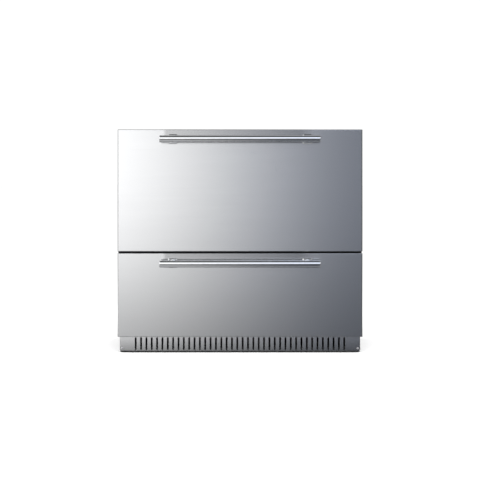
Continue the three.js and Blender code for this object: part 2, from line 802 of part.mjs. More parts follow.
function middleRail(name, length, sign) {
  const web = RAIL_SHEET + 2 * FIT + RAIL_SHEET / 2;
  const top = middleFlange - RAIL_SHEET / 2;
  const tip = SLIDE_WIDTH - RAIL_SHEET - 2 * FIT;
  const line = [
    [tip, top],
    [web, top],
    [web, -top],
    [tip, -top],
  ];
  // Balls to the outer rail sit near the rear end, and balls to the inner rail near the front.
  const races = [
    { v: outerBallHeight, u: (RAIL_SHEET + OUTER_RAIL_WIDTH - RAIL_SHEET) / 2, from: length * 0.58 },
    { v: innerBallHeight, u: tip - BALL_RADIUS - 0.9, from: length * 0.08 },
  ];
  const balls = races.flatMap(({ u, v, from }) =>
    [1, -1].flatMap((way) => ballRow(-sign * u, way * v, from)),
  );
  return rail(name, line, length, sign, balls);
}

function ballRow(x, z, from) {
  return Array.from({ length: BALLS_PER_ROW }, (_, i) => {
    const ball = new THREE.SphereGeometry(BALL_RADIUS, 5, 3).rotateX(Math.PI / 2);
    return solid(ball.translate(x, from + i * BALL_PITCH, z));
  });
}

function innerRail(name, length, sign) {
  const half = RAIL_SHEET / 2;
  const top = innerFlange - half;
  const web = SLIDE_WIDTH - half;
  const back = RAIL_SHEET * 2 + 4 * FIT + 1;
  const line = [
    [back, top],
    [web, top],
    [web, -top],
    [back, -top],
  ];
  return rail(name, line, length, sign);
}

// ---------------------------------------------------------------- drawers

// Rings around the front's rounded edge, from its side to its face. y runs towards the face.
function frontEdge(half, bottom, top, inset, face) {
  const side = FRONT_SIDE_RADIUS - inset;
  const end = Math.max(FRONT_END_RADIUS - inset, 0.4);
  return [0, 1, 2, 3, 4].map((i) => {
    const angle = (i / 4) * (Math.PI / 2);
    const a = inset + side * (1 - Math.cos(angle));
    const b = inset + end * (1 - Math.cos(angle));
    const outline = rounded(-half + a, half - a, bottom + b, top - b, Math.max(1.5 - inset, 0.2), 1);
    return ringAt("y", outline, face + side * (1 - Math.sin(angle)));
  });
}

function frontSkin({ name, height }) {
  const half = frontHalf;
  const flat = (inset, y) =>
    ringAt("y", rounded(-half + inset, half - inset, inset, height - inset, 0.5, 1), y);
  const skin = loft([
    ...frontEdge(half, 0, height, FRONT_SKIN, frontFace + FRONT_SKIN).reverse(),
    flat(FRONT_SKIN, frontRear - FRONT_SKIN),
    flat(FRONT_RETURN, frontRear - FRONT_SKIN),
    flat(FRONT_RETURN, frontRear),
    flat(0, frontRear),
    ...frontEdge(half, 0, height, 0, frontFace),
  ]);
  return piece(`${name}_front_skin`, skin, brushedSteel);
}

// Foamed core with the moulded inner panel, whose raised middle enters the cabinet's opening.
function frontCore({ name, bottom, height, plug }) {
  const half = frontHalf;
  const inside = FRONT_SKIN + FIT;
  const flat = (inset, y) =>
    ringAt("y", rounded(-half + inset, half - inset, inset, height - inset, 0.5, 1), y);
  const plugHalf = linerHalf - PLUG_CLEARANCE;
  const raised = (inset, y) =>
    ringAt(
      "y",
      rounded(-plugHalf + inset, plugHalf - inset, plug[0] - bottom + inset, plug[1] - bottom - inset, 8, 1),
      y,
    );
  const core = loft([
    ...frontEdge(half, 0, height, inside, frontFace + inside).reverse(),
    flat(inside, frontRear - inside),
    flat(FRONT_RETURN + FIT, frontRear - inside),
    flat(FRONT_RETURN + FIT, frontRear),
    raised(0, frontRear),
    raised(0, plugEnd - PLUG_RADIUS),
    raised(PLUG_RADIUS * 0.3, plugEnd - PLUG_RADIUS * 0.3),
    raised(PLUG_RADIUS, plugEnd),
  ]);
  return piece(`${name}_front_core`, core, linerPlastic);
}

// Magnetic gasket: a base, a bellows waist and a flat head, mitred around the front.
function gasket({ name, height }) {
  const half = frontHalf - FRONT_RETURN - FIT;
  const [head, base] = [-FIT, frontRear + FIT];
  const waist = GASKET_WIDTH * 0.18;
  const level = (share) => base + share * (head - base);
  const profile = [
    [0, base],
    [0, level(0.22)],
    [waist, level(0.32)],
    [waist, level(0.44)],
    [0, level(0.54)],
    [0, head],
    [GASKET_WIDTH, head],
    [GASKET_WIDTH, level(0.54)],
    [GASKET_WIDTH - waist, level(0.44)],
    [GASKET_WIDTH - waist, level(0.32)],
    [GASKET_WIDTH, level(0.22)],
    [GASKET_WIDTH, base],
  ];
  const edge = FRONT_RETURN + FIT;
  const rings = profile.map(([inset, y]) =>
    ringAt("y", rectangle(-half + inset, half - inset, edge + inset, height - edge - inset), y),
  );
  return piece(`${name}_gasket`, loft(rings, true), blackRubber);
}

function handleBar({ name, height }) {
  const half = BAR_LENGTH / 2;
  const profile = [
    [0, -half],
    [BAR_RADIUS - BAR_CHAMFER, -half],
    [BAR_RADIUS - BAR_CHAMFER * 0.3, -half + BAR_CHAMFER * 0.3],
    [BAR_RADIUS, -half + BAR_CHAMFER],
    [BAR_RADIUS, half - BAR_CHAMFER],
    [BAR_RADIUS - BAR_CHAMFER * 0.3, half - BAR_CHAMFER * 0.3],
    [BAR_RADIUS - BAR_CHAMFER, half],
    [0, half],
  ];
  const place = [0, barAxisY, height - BAR_DROP];
  return piece(`${name}_handle_bar`, turned("x", profile, 20), polishedSteel, place);
}

// Post with a round flange at the drawer's face and a saddle cut to the bar.
function handlePost({ name, height }, side) {
  const profile = [
    [0, barAxisY],
    [POST_RADIUS, barAxisY],
    [POST_RADIUS, frontFace - POST_FLANGE_THICKNESS - 2],
    [POST_RADIUS + 2, frontFace - POST_FLANGE_THICKNESS],
    [POST_FLANGE_RADIUS - 2, frontFace - POST_FLANGE_THICKNESS],
    [POST_FLANGE_RADIUS, frontFace - POST_FLANGE_THICKNESS + 2],
    [POST_FLANGE_RADIUS, frontFace - FIT],
    [0, frontFace - FIT],
  ];
  const bar = rod("x", BAR_RADIUS + FIT, -POST_FLANGE_RADIUS, POST_FLANGE_RADIUS, [0, barAxisY, 0], 20);
  const post = turned("y", profile, 14).subtract(bar);
  return piece(`${name}_handle_post_${side.name}`, post, polishedSteel, [
    side.sign * (BAR_LENGTH / 2 - POST_INSET),
    0,
    height - BAR_DROP,
  ]);
}

// Folded sheet box with a rolled rim.
function drawerBox({ name, bottom, boxBottom, boxHeight, boxRear }) {
  const ring = (grow, z) => {
    const radius = Math.max(BOX_CORNER + grow, 0.4);
    const outline = rounded(-boxHalf - grow, boxHalf + grow, boxFront - grow, boxRear + grow, radius, 3);
    return ringAt("z", outline, z);
  };
  // The rim folds inwards at the front and rear as well as the sides, so the box stays flush.
  const foot = [0, 1, 2].map((i) => {
    const angle = (i / 2) * (Math.PI / 2);
    return [BOX_FOOT_RADIUS * (1 - Math.sin(angle)), BOX_FOOT_RADIUS * (1 - Math.cos(angle))];
  });
  const inner = BOX_FOOT_RADIUS - BOX_SHEET;
  const box = loft([
    ...foot.map(([inset, rise]) => ring(-inset, rise)),
    ring(0, boxHeight - 1.5),
    ring(-1.5, boxHeight),
    ring(-BOX_RIM + 1.5, boxHeight),
    ring(-BOX_RIM, boxHeight - 1.5),
    ring(-BOX_RIM, boxHeight - BOX_RIM_HEIGHT),
    ring(-BOX_SHEET, boxHeight - BOX_RIM_HEIGHT - 3),
    ...foot
      .map(([inset, rise]) =>
        ring(
          -BOX_SHEET - (inset * inner) / BOX_FOOT_RADIUS,
          BOX_SHEET + (rise * inner) / BOX_FOOT_RADIUS,
        ),
      )
      .reverse(),
  ]);
  return piece(`${name}_drawer_box`, box, railSteel, [0, 0, boxBottom - bottom]);
}

function drawer(spec) {
  const group = new THREE.Group();
  group.position.set(0, 0, spec.bottom);
  group.add(frontSkin(spec), frontCore(spec), gasket(spec), handleBar(spec), drawerBox(spec));
  for (const side of SIDES) {
    group.add(handlePost(spec, side));
    const inner = innerRail(`${spec.name}_slide_inner_${side.name}`, spec.slide, side.sign);
    inner.position.set(side.sign * railFace, slideStart, spec.boxBottom + SLIDE_RISE - spec.bottom);
    group.add(inner);
  }
  return group;
}

function fixedRails(spec) {
  return SIDES.flatMap((side) => {
    const outer = outerRail(`${spec.name}_slide_outer_${side.name}`, spec.slide, side.sign);
    const middle = middleRail(`${spec.name}_slide_middle_${side.name}`, spec.slide, side.sign);
    for (const one of [outer, middle]) {
      one.position.set(side.sign * railFace, slideStart, spec.boxBottom + SLIDE_RISE);
    }
    return [outer, middle];
  });
}

// ---------------------------------------------------------------- fans and coils

// Square axial fan about +Z: a frame with a round duct and a motor on struts, from z = 0 to depth.
function fanFrame(name, size, depth) {
  const half = size / 2;
  const duct = half - 3;
  const motor = size * 0.17;
  const strut = size * 0.03;
  const plate = prism("z", rounded(-half, half, -half, half, size * 0.05, 2), 0, depth);
  const bore = rod("z", duct, -SHEET, depth + SHEET, [0, 0, 0], 20);
  const spider = joined([
    rod("z", motor, 0, depth * 0.28, [0, 0, 0], 12),
    block([-duct - 1, duct + 1], [-strut, strut], [0, depth * 0.16]),
    block([-strut, strut], [-duct - 1, duct + 1], [0, depth * 0.16]),
  ]);
  return piece(name, plate.subtract(bore).add(spider), blackPlastic);
}

function fanRotor(name, size, depth, blades) {
  const hub = size * 0.17;
  const tip = size / 2 - 5;
  const low = depth * 0.28 + FIT;
  const high = depth - 1.5;
  const middle = (low + high) / 2;
  const body = turned(
    "z",
    [
      [0, low],
      [hub, low],
      [hub, high - 2],
      [hub - 2, high],
      [0, high],
    ],
    16,
  );
  const blade = (turn) => {
    const sections = [hub - 1.5, (hub + tip) / 2, tip].map((radius, k) => {
      const chord = size * (0.2 + 0.05 * k);
      const pitch = THREE.MathUtils.degToRad(46 - 9 * k);
      const sweep = 0.14 * k;
      return [
        [-1, -0.5],
        [1, -0.5],
        [1, 0.5],
        [-1, 0.5],
      ].map(([along, across]) => {
        const reach = Math.min((high - low) / 2 - 0.8, (chord / 2) * Math.sin(pitch));
        const round = (along * (chord / 2) * Math.cos(pitch)) / radius + sweep + turn;
        return new THREE.Vector3(
          radius * Math.cos(round),
          radius * Math.sin(round),
          middle + along * reach + across * 1.4,
        );
      });
    });
    return loft(sections);
  };
  const all = Array.from({ length: blades }, (_, i) => blade((i / blades) * 2 * Math.PI));
  return piece(name, joined([body, ...all]), blackPlastic);
}

// Fins on a spine, as a comb pushed along z, with return bends at both ends of the tube rows.
function coil(name, width, depth, height, fins, rows, material) {
  const half = width / 2;
  const spine = 2.5;
  const pitch = width / (fins - 0.5);
  const comb = [[-half, 0]];
  for (let i = 0; i < fins; i++) {
    const x = -half + i * pitch;
    comb.push([x, -depth], [x + pitch / 2, -depth]);
    if (i < fins - 1) comb.push([x + pitch / 2, -spine], [x + pitch, -spine]);
  }
  comb.push([half, 0]);
  const pack = prism("z", comb, 0, height);
  const gap = height / (2 * rows);
  const bends = SIDES.flatMap(({ sign }) =>
    Array.from({ length: rows - (sign < 0 ? 0 : 1) }, (_, i) => {
      const middle = gap * (2 * i + (sign < 0 ? 1 : 2));
      const reach = Array.from({ length: 5 }, (_, k) => {
        const angle = -Math.PI / 2 + (k / 4) * Math.PI;
        return [
          sign * (half + RETURN_BEND_LEAD + (gap / 2) * Math.cos(angle)),
          -depth / 2,
          middle + (gap / 2) * Math.sin(angle),
        ];
      });
      const lead = [sign * (half - 1.5), -depth / 2];
      return tube([[...lead, middle - gap / 2], ...reach, [...lead, middle + gap / 2]], TUBE_RADIUS, 5, 4);
    }),
  );
  return piece(name, joined([pack, ...bends]), material);
}

// ---------------------------------------------------------------- machine compartment

const coverFace = interiorRear - COVER_DEPTH;
const machineMiddle = (machineFront + coverFace) / 2;
const compressorX = bodyHalf - COMPRESSOR_INSET;
const condenserX = compressorX - CONDENSER_SPACING;
const compressorBase = GROMMET_HEIGHT + COMPRESSOR_PLATE - 1;

function rearCover() {
  const bounds = [-insideHalf, insideHalf, machineFloor, machineTop - FIT];
  const face = coverFace;
  const pan = openPan("y", bounds, face, interiorRear, SHEET, 1.6, [2, 2], 1);
  const columnPitch = LOUVRE_LENGTH + LOUVRE_GAP;
  const rowPitch = (machineTop - machineFloor - LOUVRE_RISE - LOUVRE_TOP_MARGIN) / LOUVRE_ROWS;
  const louvres = [];
  for (let column = 0; column < LOUVRE_COLUMNS; column++) {
    for (let row = 0; row < LOUVRE_ROWS; row++) {
      const x = (column - (LOUVRE_COLUMNS - 1) / 2) * columnPitch;
      const z = machineFloor + LOUVRE_RISE + row * rowPitch;
      const outline = rectangle(x - LOUVRE_LENGTH / 2, x + LOUVRE_LENGTH / 2, z, z + LOUVRE_HEIGHT);
      louvres.push(prism("y", outline, face - SHEET, face + 2 * SHEET));
    }
  }
  const [glandX, glandZ] = glandPlace;
  const glandHole = rod("y", GLAND_RADIUS + FIT, face - SHEET, face + 2 * SHEET, [glandX, 0, glandZ], 12);
  return piece("rear_cover", cut(pan, [...louvres, glandHole]), galvanised);
}

const glandPlace = [-bodyHalf + GLAND_INSET, machineFloor + GLAND_HEIGHT];

// Grommet through the rear cover where the supply lead leaves.
function cordGland() {
  const face = coverFace;
  const profile = [
    [4.5, face - 5],
    [GLAND_RADIUS + 3, face - 5],
    [GLAND_RADIUS + 3, face - FIT],
    [GLAND_RADIUS, face - FIT],
    [GLAND_RADIUS, face + SHEET + FIT],
    [GLAND_RADIUS + 3, face + SHEET + FIT],
    [GLAND_RADIUS + 3, face + 4],
    [GLAND_RADIUS - 1, face + 8.5],
    [4.5, face + 8.5],
    [4.5, face - 5],
  ];
  return piece("cord_gland", turned("y", profile, 10), blackRubber, [glandPlace[0], 0, glandPlace[1]]);
}

// Hermetic compressor: a domed pot with a welded seam, on a foot plate with rubber grommets.
function compressor() {
  const r = COMPRESSOR_RADIUS;
  const h = COMPRESSOR_HEIGHT;
  const seam = h * 0.55;
  const pot = turned(
    "z",
    [
      [0, 0],
      [r * 0.62, 0],
      [r * 0.9, h * 0.06],
      [r, h * 0.18],
      [r, seam - 3],
      [r + COMPRESSOR_SEAM, seam - 3],
      [r + COMPRESSOR_SEAM, seam + 3],
      [r, seam + 3],
      [r * 0.985, h * 0.74],
      [r * 0.88, h * 0.88],
      [r * 0.62, h * 0.965],
      [0, h],
    ],
    16,
    [0, 0, compressorBase],
  );
  const [long, wide] = [COMPRESSOR_PLATE_LENGTH / 2, COMPRESSOR_PLATE_WIDTH / 2];
  const plate = prism(
    "z",
    rounded(-long, long, -wide, wide, GROMMET_RADIUS + 3, 2),
    GROMMET_HEIGHT,
    GROMMET_HEIGHT + COMPRESSOR_PLATE,
  );
  const grommets = [-1, 1].flatMap((sx) =>
    [-1, 1].map((sy) => {
      const place = [sx * (long - GROMMET_INSET), sy * (wide - GROMMET_INSET), 0];
      return rod("z", GROMMET_RADIUS, 0, GROMMET_HEIGHT + COMPRESSOR_PLATE + 3, place, 6);
    }),
  );
  const low = h * 0.3;
  const across = TERMINAL_BOX_WIDTH / 2;
  const terminals = prism(
    "x",
    rounded(-across, across, low, low + TERMINAL_BOX_HEIGHT, 8, 2),
    r * 0.8,
    r + TERMINAL_BOX_DEPTH,
  );
  const made = joined([pot, plate, ...grommets, terminals]);
  return piece("compressor", made, blackEnamel, [compressorX, machineMiddle, machineFloor]);
}

const compressorTop = machineFloor + compressorBase + COMPRESSOR_HEIGHT;

// Pan that catches the melt water on top of the compressor, whose warmth dries it off.
function drainPan() {
  const z = compressorTop + FIT;
  const [long, wide] = [DRAIN_PAN_LENGTH / 2, DRAIN_PAN_WIDTH / 2];
  const pan = openPan("z", [-long, long, -wide, wide], z, z + DRAIN_PAN_HEIGHT, DRAIN_PAN_SHELL, 4, [12, 12]);
  return piece("drain_pan", pan, blackPlastic, [compressorX, machineMiddle, 0]);
}

function condenser() {
  const bendReach = RETURN_BEND_LEAD + CONDENSER_HEIGHT / CONDENSER_ROWS / 4 + TUBE_RADIUS;
  const made = coil(
    "condenser_coil",
    coverFace - machineFront - 2 * (bendReach + CONDENSER_CLEARANCE),
    CONDENSER_THICKNESS,
    CONDENSER_HEIGHT,
    CONDENSER_FINS,
    CONDENSER_ROWS,
    aluminium,
  );
  // The comb's depth lies across x, so that air passes through it from the left.
  made.rotation.z = -Math.PI / 2;
  made.position.set(condenserX + CONDENSER_THICKNESS / 2, machineMiddle, machineFloor);
  return made;
}

function condenserFan() {
  const group = new THREE.Group();
  group.add(fanFrame("condenser_fan_frame", CONDENSER_FAN_SIZE, CONDENSER_FAN_DEPTH));
  group.add(fanRotor("condenser_fan_rotor", CONDENSER_FAN_SIZE, CONDENSER_FAN_DEPTH, 5));
  // The fan's axis lies along x, with its motor on the coil's side.
  group.rotation.y = Math.PI / 2;
  group.position.set(
    condenserX + CONDENSER_THICKNESS / 2 + FIT,
    machineMiddle,
    machineFloor + CONDENSER_HEIGHT / 2,
  );
  return group;
}

function dischargeLine() {
  const z = machineFloor + compressorBase + COMPRESSOR_HEIGHT * 0.66;
  const high = machineFloor + CONDENSER_HEIGHT + TUBE_TOP_CLEARANCE;
  const start = compressorX - COMPRESSOR_RADIUS - FIT - 0.4;
  const rise = start - 16;
  const line = tube(
    [
      [start, machineMiddle, z],
      [start - 8, machineMiddle, z],
      [rise, machineMiddle, z + 10],
      [rise, machineMiddle, high - 10],
      [rise - 10, machineMiddle, high],
      [condenserX + 10, machineMiddle, high],
      [condenserX, machineMiddle, high - 8],
      [condenserX, machineMiddle, machineFloor + CONDENSER_HEIGHT + FIT],
    ],
    TUBE_RADIUS,
    18,
    5,
  );
  return piece("discharge_line", line, copper);
}

// Copper filter drier between the condenser's outlet and the capillary in the ceiling.
function filterDrier() {
  const face = condenserX - CONDENSER_THICKNESS / 2 - FIT;
  const x = face - DRIER_SETOFF;
  const low = machineFloor + DRIER_RISE / 2;
  const start = machineFloor + DRIER_RISE;
  const can = turned(
    "z",
    [
      [0, start],
      [TUBE_RADIUS, start],
      [DRIER_RADIUS, start + DRIER_TAPER],
      [DRIER_RADIUS, start + DRIER_LENGTH - DRIER_TAPER],
      [TUBE_RADIUS * 0.8, start + DRIER_LENGTH],
      [0, start + DRIER_LENGTH],
    ],
    10,
    [x, machineMiddle, 0],
  );
  const inlet = tube(
    [
      [face, machineMiddle, low],
      [x + 14, machineMiddle, low],
      [x + 2, machineMiddle, low + 6],
      [x, machineMiddle, low + 16],
      [x, machineMiddle, start + 4],
    ],
    TUBE_RADIUS * 0.8,
    8,
    5,
  );
  const end = [start + DRIER_LENGTH - 4, machineTop - FIT];
  const outlet = rod("z", TUBE_RADIUS * 0.6, ...end, [x, machineMiddle, 0], 6);
  return piece("filter_drier", joined([can, inlet, outlet]), copper);
}

// ---------------------------------------------------------------- evaporator

const coverBottom = stepTop + EVAPORATOR_COVER_MARGIN;
const coverTop = ceiling - EVAPORATOR_COVER_MARGIN;
const fanHeight = coverTop - EVAPORATOR_FAN_SIZE / 2 - OUTLET_MARGIN;

function evaporatorCover() {
  const half = EVAPORATOR_COVER_WIDTH / 2;
  const pan = openPan(
    "y",
    [-half, half, coverBottom, coverTop],
    evaporatorCoverFace,
    linerBack - FIT,
    EVAPORATOR_COVER_SHELL,
    10,
    [16, 16],
  );
  const through = [evaporatorCoverFace - 1, evaporatorCoverFace + EVAPORATOR_COVER_SHELL + 1];
  const returnPitch = (EVAPORATOR_COVER_WIDTH - 2 * RETURN_SLOT_MARGIN) / (RETURN_SLOTS - 1);
  const low = coverBottom + RETURN_SLOT_RISE;
  const returns = Array.from({ length: RETURN_SLOTS }, (_, i) => {
    const x = (i - (RETURN_SLOTS - 1) / 2) * returnPitch;
    return prism("y", stadium(x, low, low + RETURN_SLOT_LENGTH, RETURN_SLOT_WIDTH), ...through);
  });
  // The outlet's slots fill a circle in front of the fan.
  const radius = EVAPORATOR_FAN_SIZE / 2 - OUTLET_SLOT_HEIGHT;
  const outlets = Array.from({ length: OUTLET_SLOTS }, (_, i) => {
    const rise = (i - (OUTLET_SLOTS - 1) / 2) * OUTLET_PITCH;
    const reach = Math.sqrt(radius * radius - rise * rise);
    const [bottom, top] = [-1, 1].map((way) => fanHeight + rise + (way * OUTLET_SLOT_HEIGHT) / 2);
    return prism("y", rounded(-reach, reach, bottom, top, OUTLET_SLOT_HEIGHT / 3, 1), ...through);
  });
  return piece("evaporator_cover", cut(pan, [...returns, ...outlets]), linerPlastic);
}

function evaporator() {
  const made = coil(
    "evaporator_coil",
    EVAPORATOR_WIDTH,
    EVAPORATOR_DEPTH,
    EVAPORATOR_HEIGHT,
    EVAPORATOR_FINS,
    EVAPORATOR_ROWS,
    aluminium,
  );
  made.position.set(0, linerBack - FIT, coverBottom + EVAPORATOR_RISE);
  return made;
}

function evaporatorFan() {
  const group = new THREE.Group();
  group.add(fanFrame("evaporator_fan_frame", EVAPORATOR_FAN_SIZE, EVAPORATOR_FAN_DEPTH));
  group.add(fanRotor("evaporator_fan_rotor", EVAPORATOR_FAN_SIZE, EVAPORATOR_FAN_DEPTH, 6));
  // The motor side is at the rear, and the frame stands against the cover's inner face.
  group.rotation.x = Math.PI / 2;
  group.position.set(
    0,
    evaporatorCoverFace + EVAPORATOR_COVER_SHELL + FIT + EVAPORATOR_FAN_DEPTH,
    fanHeight,
  );
  return group;
}

// ---------------------------------------------------------------- lights and controls

function ledBar(name, y, top) {
  const outline = [
    [y, top],
    [y, top - LED_HEIGHT + LED_CHAMFER],
    [y + LED_CHAMFER, top - LED_HEIGHT],
    [y + LED_DEPTH - LED_CHAMFER, top - LED_HEIGHT],
    [y + LED_DEPTH, top - LED_HEIGHT + LED_CHAMFER],
    [y + LED_DEPTH, top],
  ];
  return piece(name, prism("x", outline, -LED_LENGTH / 2, LED_LENGTH / 2), lightLens);
}

// Frame of the bezel's tilted face: origin at its middle, +z out of it.
function bezelFace() {
  const rise = BEZEL_HEIGHT - BEZEL_NOSE;
  const middle = new THREE.Vector3(
    0,
    BEZEL_FRONT + BEZEL_SLOPE / 2,
    ceiling - FIT - (BEZEL_NOSE + BEZEL_HEIGHT) / 2,
  );
  const outward = new THREE.Vector3(0, -rise, -BEZEL_SLOPE).normalize();
  const up = new THREE.Vector3().crossVectors(outward, X).normalize();
  return new THREE.Matrix4().makeBasis(X, up, outward).setPosition(middle);
}

const BUTTONS = [
  { name: "colder_button", x: -48 },
  { name: "warmer_button", x: 48 },
];

// Control housing under the ceiling, with a tilted face for the display and buttons.
function controlBezel() {
  const top = ceiling - FIT;
  const rear = BEZEL_FRONT + BEZEL_DEPTH;
  const outline = [
    [BEZEL_FRONT, top],
    [BEZEL_FRONT, top - BEZEL_NOSE],
    [BEZEL_FRONT + BEZEL_SLOPE, top - BEZEL_HEIGHT],
    [rear - 14, top - BEZEL_HEIGHT],
    [rear, top - BEZEL_HEIGHT + 20],
    [rear, top],
  ];
  const housing = prism("x", outline, -BEZEL_WIDTH / 2, BEZEL_WIDTH / 2);
  const face = bezelFace();
  const pocket = BUTTON_DEPTH + BUTTON_TRAVEL + FIT;
  const cuts = BUTTONS.map(({ x }) => rod("z", BUTTON_RADIUS + FIT, -pocket, 1, [x, 0, 0], 14));
  cuts.push(prism("z", rounded(-24, 24, -9, 9, 2), -0.8, 1));
  const placed = cuts.map((one) => one.transform(face.toArray()));
  return piece("control_bezel", cut(housing, placed), blackPlastic);
}

function button({ name, x }) {
  const profile = [
    [0, -BUTTON_DEPTH],
    [BUTTON_RADIUS, -BUTTON_DEPTH],
    [BUTTON_RADIUS, BUTTON_PROUD - 0.7],
    [BUTTON_RADIUS - 0.7, BUTTON_PROUD],
    [0, BUTTON_PROUD - 0.3],
  ];
  const mesh = piece(name, turned("z", profile, 14), buttonPlastic, [x, 0, 0]);
  mesh.applyMatrix4(bezelFace());
  return mesh;
}

// ---------------------------------------------------------------- assembly

const refrigerator = new THREE.Group();
refrigerator.name = "drawer_refrigerator";
refrigerator.position.y = -(objectFront + BODY_DEPTH) / 2;

refrigerator.add(...SIDES.map(sidePanel), topPanel(), backPanel(), bottomPanel());
refrigerator.add(insulation(), liner(), mullion());
refrigerator.add(basePan(), kickPlate(), ...SIDES.map(kickScrew), ...footPlaces().map(levelingFoot));
for (const spec of DRAWERS) {
  refrigerator.add(...fixedRails(spec), drawer(spec));
}
refrigerator.add(rearCover(), cordGland(), compressor(), drainPan(), condenser(), condenserFan());
refrigerator.add(dischargeLine(), filterDrier());
refrigerator.add(evaporatorCover(), evaporator(), evaporatorFan());
refrigerator.add(ledBar("led_bar_upper", BEZEL_FRONT + BEZEL_DEPTH + LED_SETBACK, ceiling - FIT));
refrigerator.add(ledBar("led_bar_lower", slideStart, mullionBottom - FIT));
refrigerator.add(controlBezel(), ...BUTTONS.map(button));

export default refrigerator;
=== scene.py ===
"""Undercounter refrigerator with two drawers: brushed steel fronts, tubular handles and a slotted
kick plate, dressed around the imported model. Lengths in this file are millimetres until a mesh is
made, and places are in the row frame: x to the right, y to the rear, z up."""

import json
import math

import bmesh
import bpy
from mathutils import Matrix, Vector


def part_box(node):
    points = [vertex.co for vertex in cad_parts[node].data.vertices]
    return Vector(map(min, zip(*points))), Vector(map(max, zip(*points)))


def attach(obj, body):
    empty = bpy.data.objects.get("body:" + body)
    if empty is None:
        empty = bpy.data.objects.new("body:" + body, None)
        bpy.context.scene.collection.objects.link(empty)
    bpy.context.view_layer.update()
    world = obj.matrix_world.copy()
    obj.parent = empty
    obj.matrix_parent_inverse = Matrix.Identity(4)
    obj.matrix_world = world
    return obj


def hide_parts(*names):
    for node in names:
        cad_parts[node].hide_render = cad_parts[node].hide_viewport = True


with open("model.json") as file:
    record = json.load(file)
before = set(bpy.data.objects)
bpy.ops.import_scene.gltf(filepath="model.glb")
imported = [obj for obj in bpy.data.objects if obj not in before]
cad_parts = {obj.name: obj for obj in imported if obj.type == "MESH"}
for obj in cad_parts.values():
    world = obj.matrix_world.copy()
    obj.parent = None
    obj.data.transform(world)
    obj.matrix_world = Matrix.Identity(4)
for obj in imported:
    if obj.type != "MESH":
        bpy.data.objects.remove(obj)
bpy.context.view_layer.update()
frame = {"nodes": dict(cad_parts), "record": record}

MM = 0.001
DRAWERS = ("upper", "lower")
SIDES = (("left", -1), ("right", 1))


# ------------ places taken from the frame


def box(node):
    """Lowest and highest corner of a CAD node, in millimetres."""
    low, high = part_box(node)
    return low / MM, high / MM


def middle(node):
    """Middle of a CAD node's box, in millimetres."""
    return [(a + b) / 2 for a, b in zip(*box(node))]


FRONT = box("mullion")[0].y  # plane that the gaskets close against
FACE = box("upper_front_skin")[0].y
KICK_LOW, KICK_HIGH = box("kick_plate")
LINER_LOW, LINER_HIGH = box("inner_liner")
# The liner's inner faces, from the pieces that touch them.
LINER_HALF = box("mullion")[1].x + 0.3
LINER_TOP = box("evaporator_cover")[1].z + 10
LINER_FLOOR = box("lower_drawer_box")[0].z - 6

SLOT_OF = {part["node"]: part["material_slot"] for part in frame["record"]["subparts"]}


# ------------ forms
# A form is (points, faces). A ring is a closed line of points, and rings of equally many make a loft.


def loft(rings, closed=False):
    """Faces between rings. A loft that doesn't close on itself is capped at both ends."""
    n, count = len(rings[0]), len(rings)
    points = [tuple(point) for one in rings for point in one]
    faces = []
    for r in range(count if closed else count - 1):
        a, b = r * n, (r + 1) % count * n
        for i in range(n):
            j = (i + 1) % n
            faces.append((a + i, a + j, b + j, b + i))
    if not closed:
        faces.append(tuple(reversed(range(n))))
        faces.append(tuple(range((count - 1) * n, count * n)))
    return points, faces


def joined(*forms):
    """Several forms as one."""
    points, faces = [], []
    for some_points, some_faces in forms:
        start = len(points)
        points += some_points
        faces += [tuple(i + start for i in face) for face in some_faces]
    return points, faces


def moved(form, x=0.0, y=0.0, z=0.0):
    """A form shifted along the axes."""
    return [(a + x, b + y, c + z) for a, b, c in form[0]], form[1]


def turned_by(form, matrix):
    """A form turned about the origin."""
    return [tuple(matrix @ Vector(point)) for point in form[0]], form[1]


def arc(radius, start, turn, steps, a=0.0, b=0.0):
    """Points (a, b) on a circle, angles in degrees."""
    angles = [math.radians(start + turn * i / steps) for i in range(steps + 1)]
    return [(a + radius * math.cos(t), b + radius * math.sin(t)) for t in angles]


def circle(a, b, radius, sides=24):
    """Outline of a circle, or of a regular polygon."""
    return arc(radius, 0, 360, sides, a, b)[:-1]


def rounded(a0, a1, b0, b1, low, high=None, steps=6):
    """A rectangle's outline, its lower and upper corners rounded."""
    high = low if high is None else high
    return (
        arc(low, -90, 90, steps, a1 - low, b0 + low)
        + arc(high, 0, 90, steps, a1 - high, b1 - high)
        + arc(high, 90, 90, steps, a0 + high, b1 - high)
        + arc(low, 180, 90, steps, a0 + low, b0 + low)
    )


def stadium(a, b0, b1, width):
    """Outline of a slot with round ends, long along b."""
    r = width / 2
    return arc(r, 0, 180, 8, a, b1 - r) + arc(r, 180, 180, 8, a, b0 + r)


def quarter(steps):
    """Angles from 0 to a quarter turn."""
    return [math.pi / 2 * i / steps for i in range(steps + 1)]


def fillet(radius, steps):
    """A quarter round as pairs of distances: the first falls from radius to 0, the second rises."""
    return [(radius * (1 - math.sin(t)), radius * (1 - math.cos(t))) for t in quarter(steps)]


PLACE = {
    "x": lambda at, a, b: (at, a, b),
    "y": lambda at, a, b: (a, at, b),
    "z": lambda at, a, b: (a, b, at),
}


def ring(axis, outline, at):
    """An outline set at a place along an axis."""
    return [PLACE[axis](at, a, b) for a, b in outline]


def prism(axis, outline, start, end):
    """An outline carried along an axis."""
    return loft([ring(axis, outline, start), ring(axis, outline, end)])


def softened(axis, outline_at, start, end, radius):
    """A slab whose edges are rounded. outline_at(inset) gives its outline."""
    near = [ring(axis, outline_at(u), start + v) for u, v in fillet(radius, 4)]
    far = [ring(axis, outline_at(v), end - u) for u, v in fillet(radius, 4)]
    return loft(near + far)


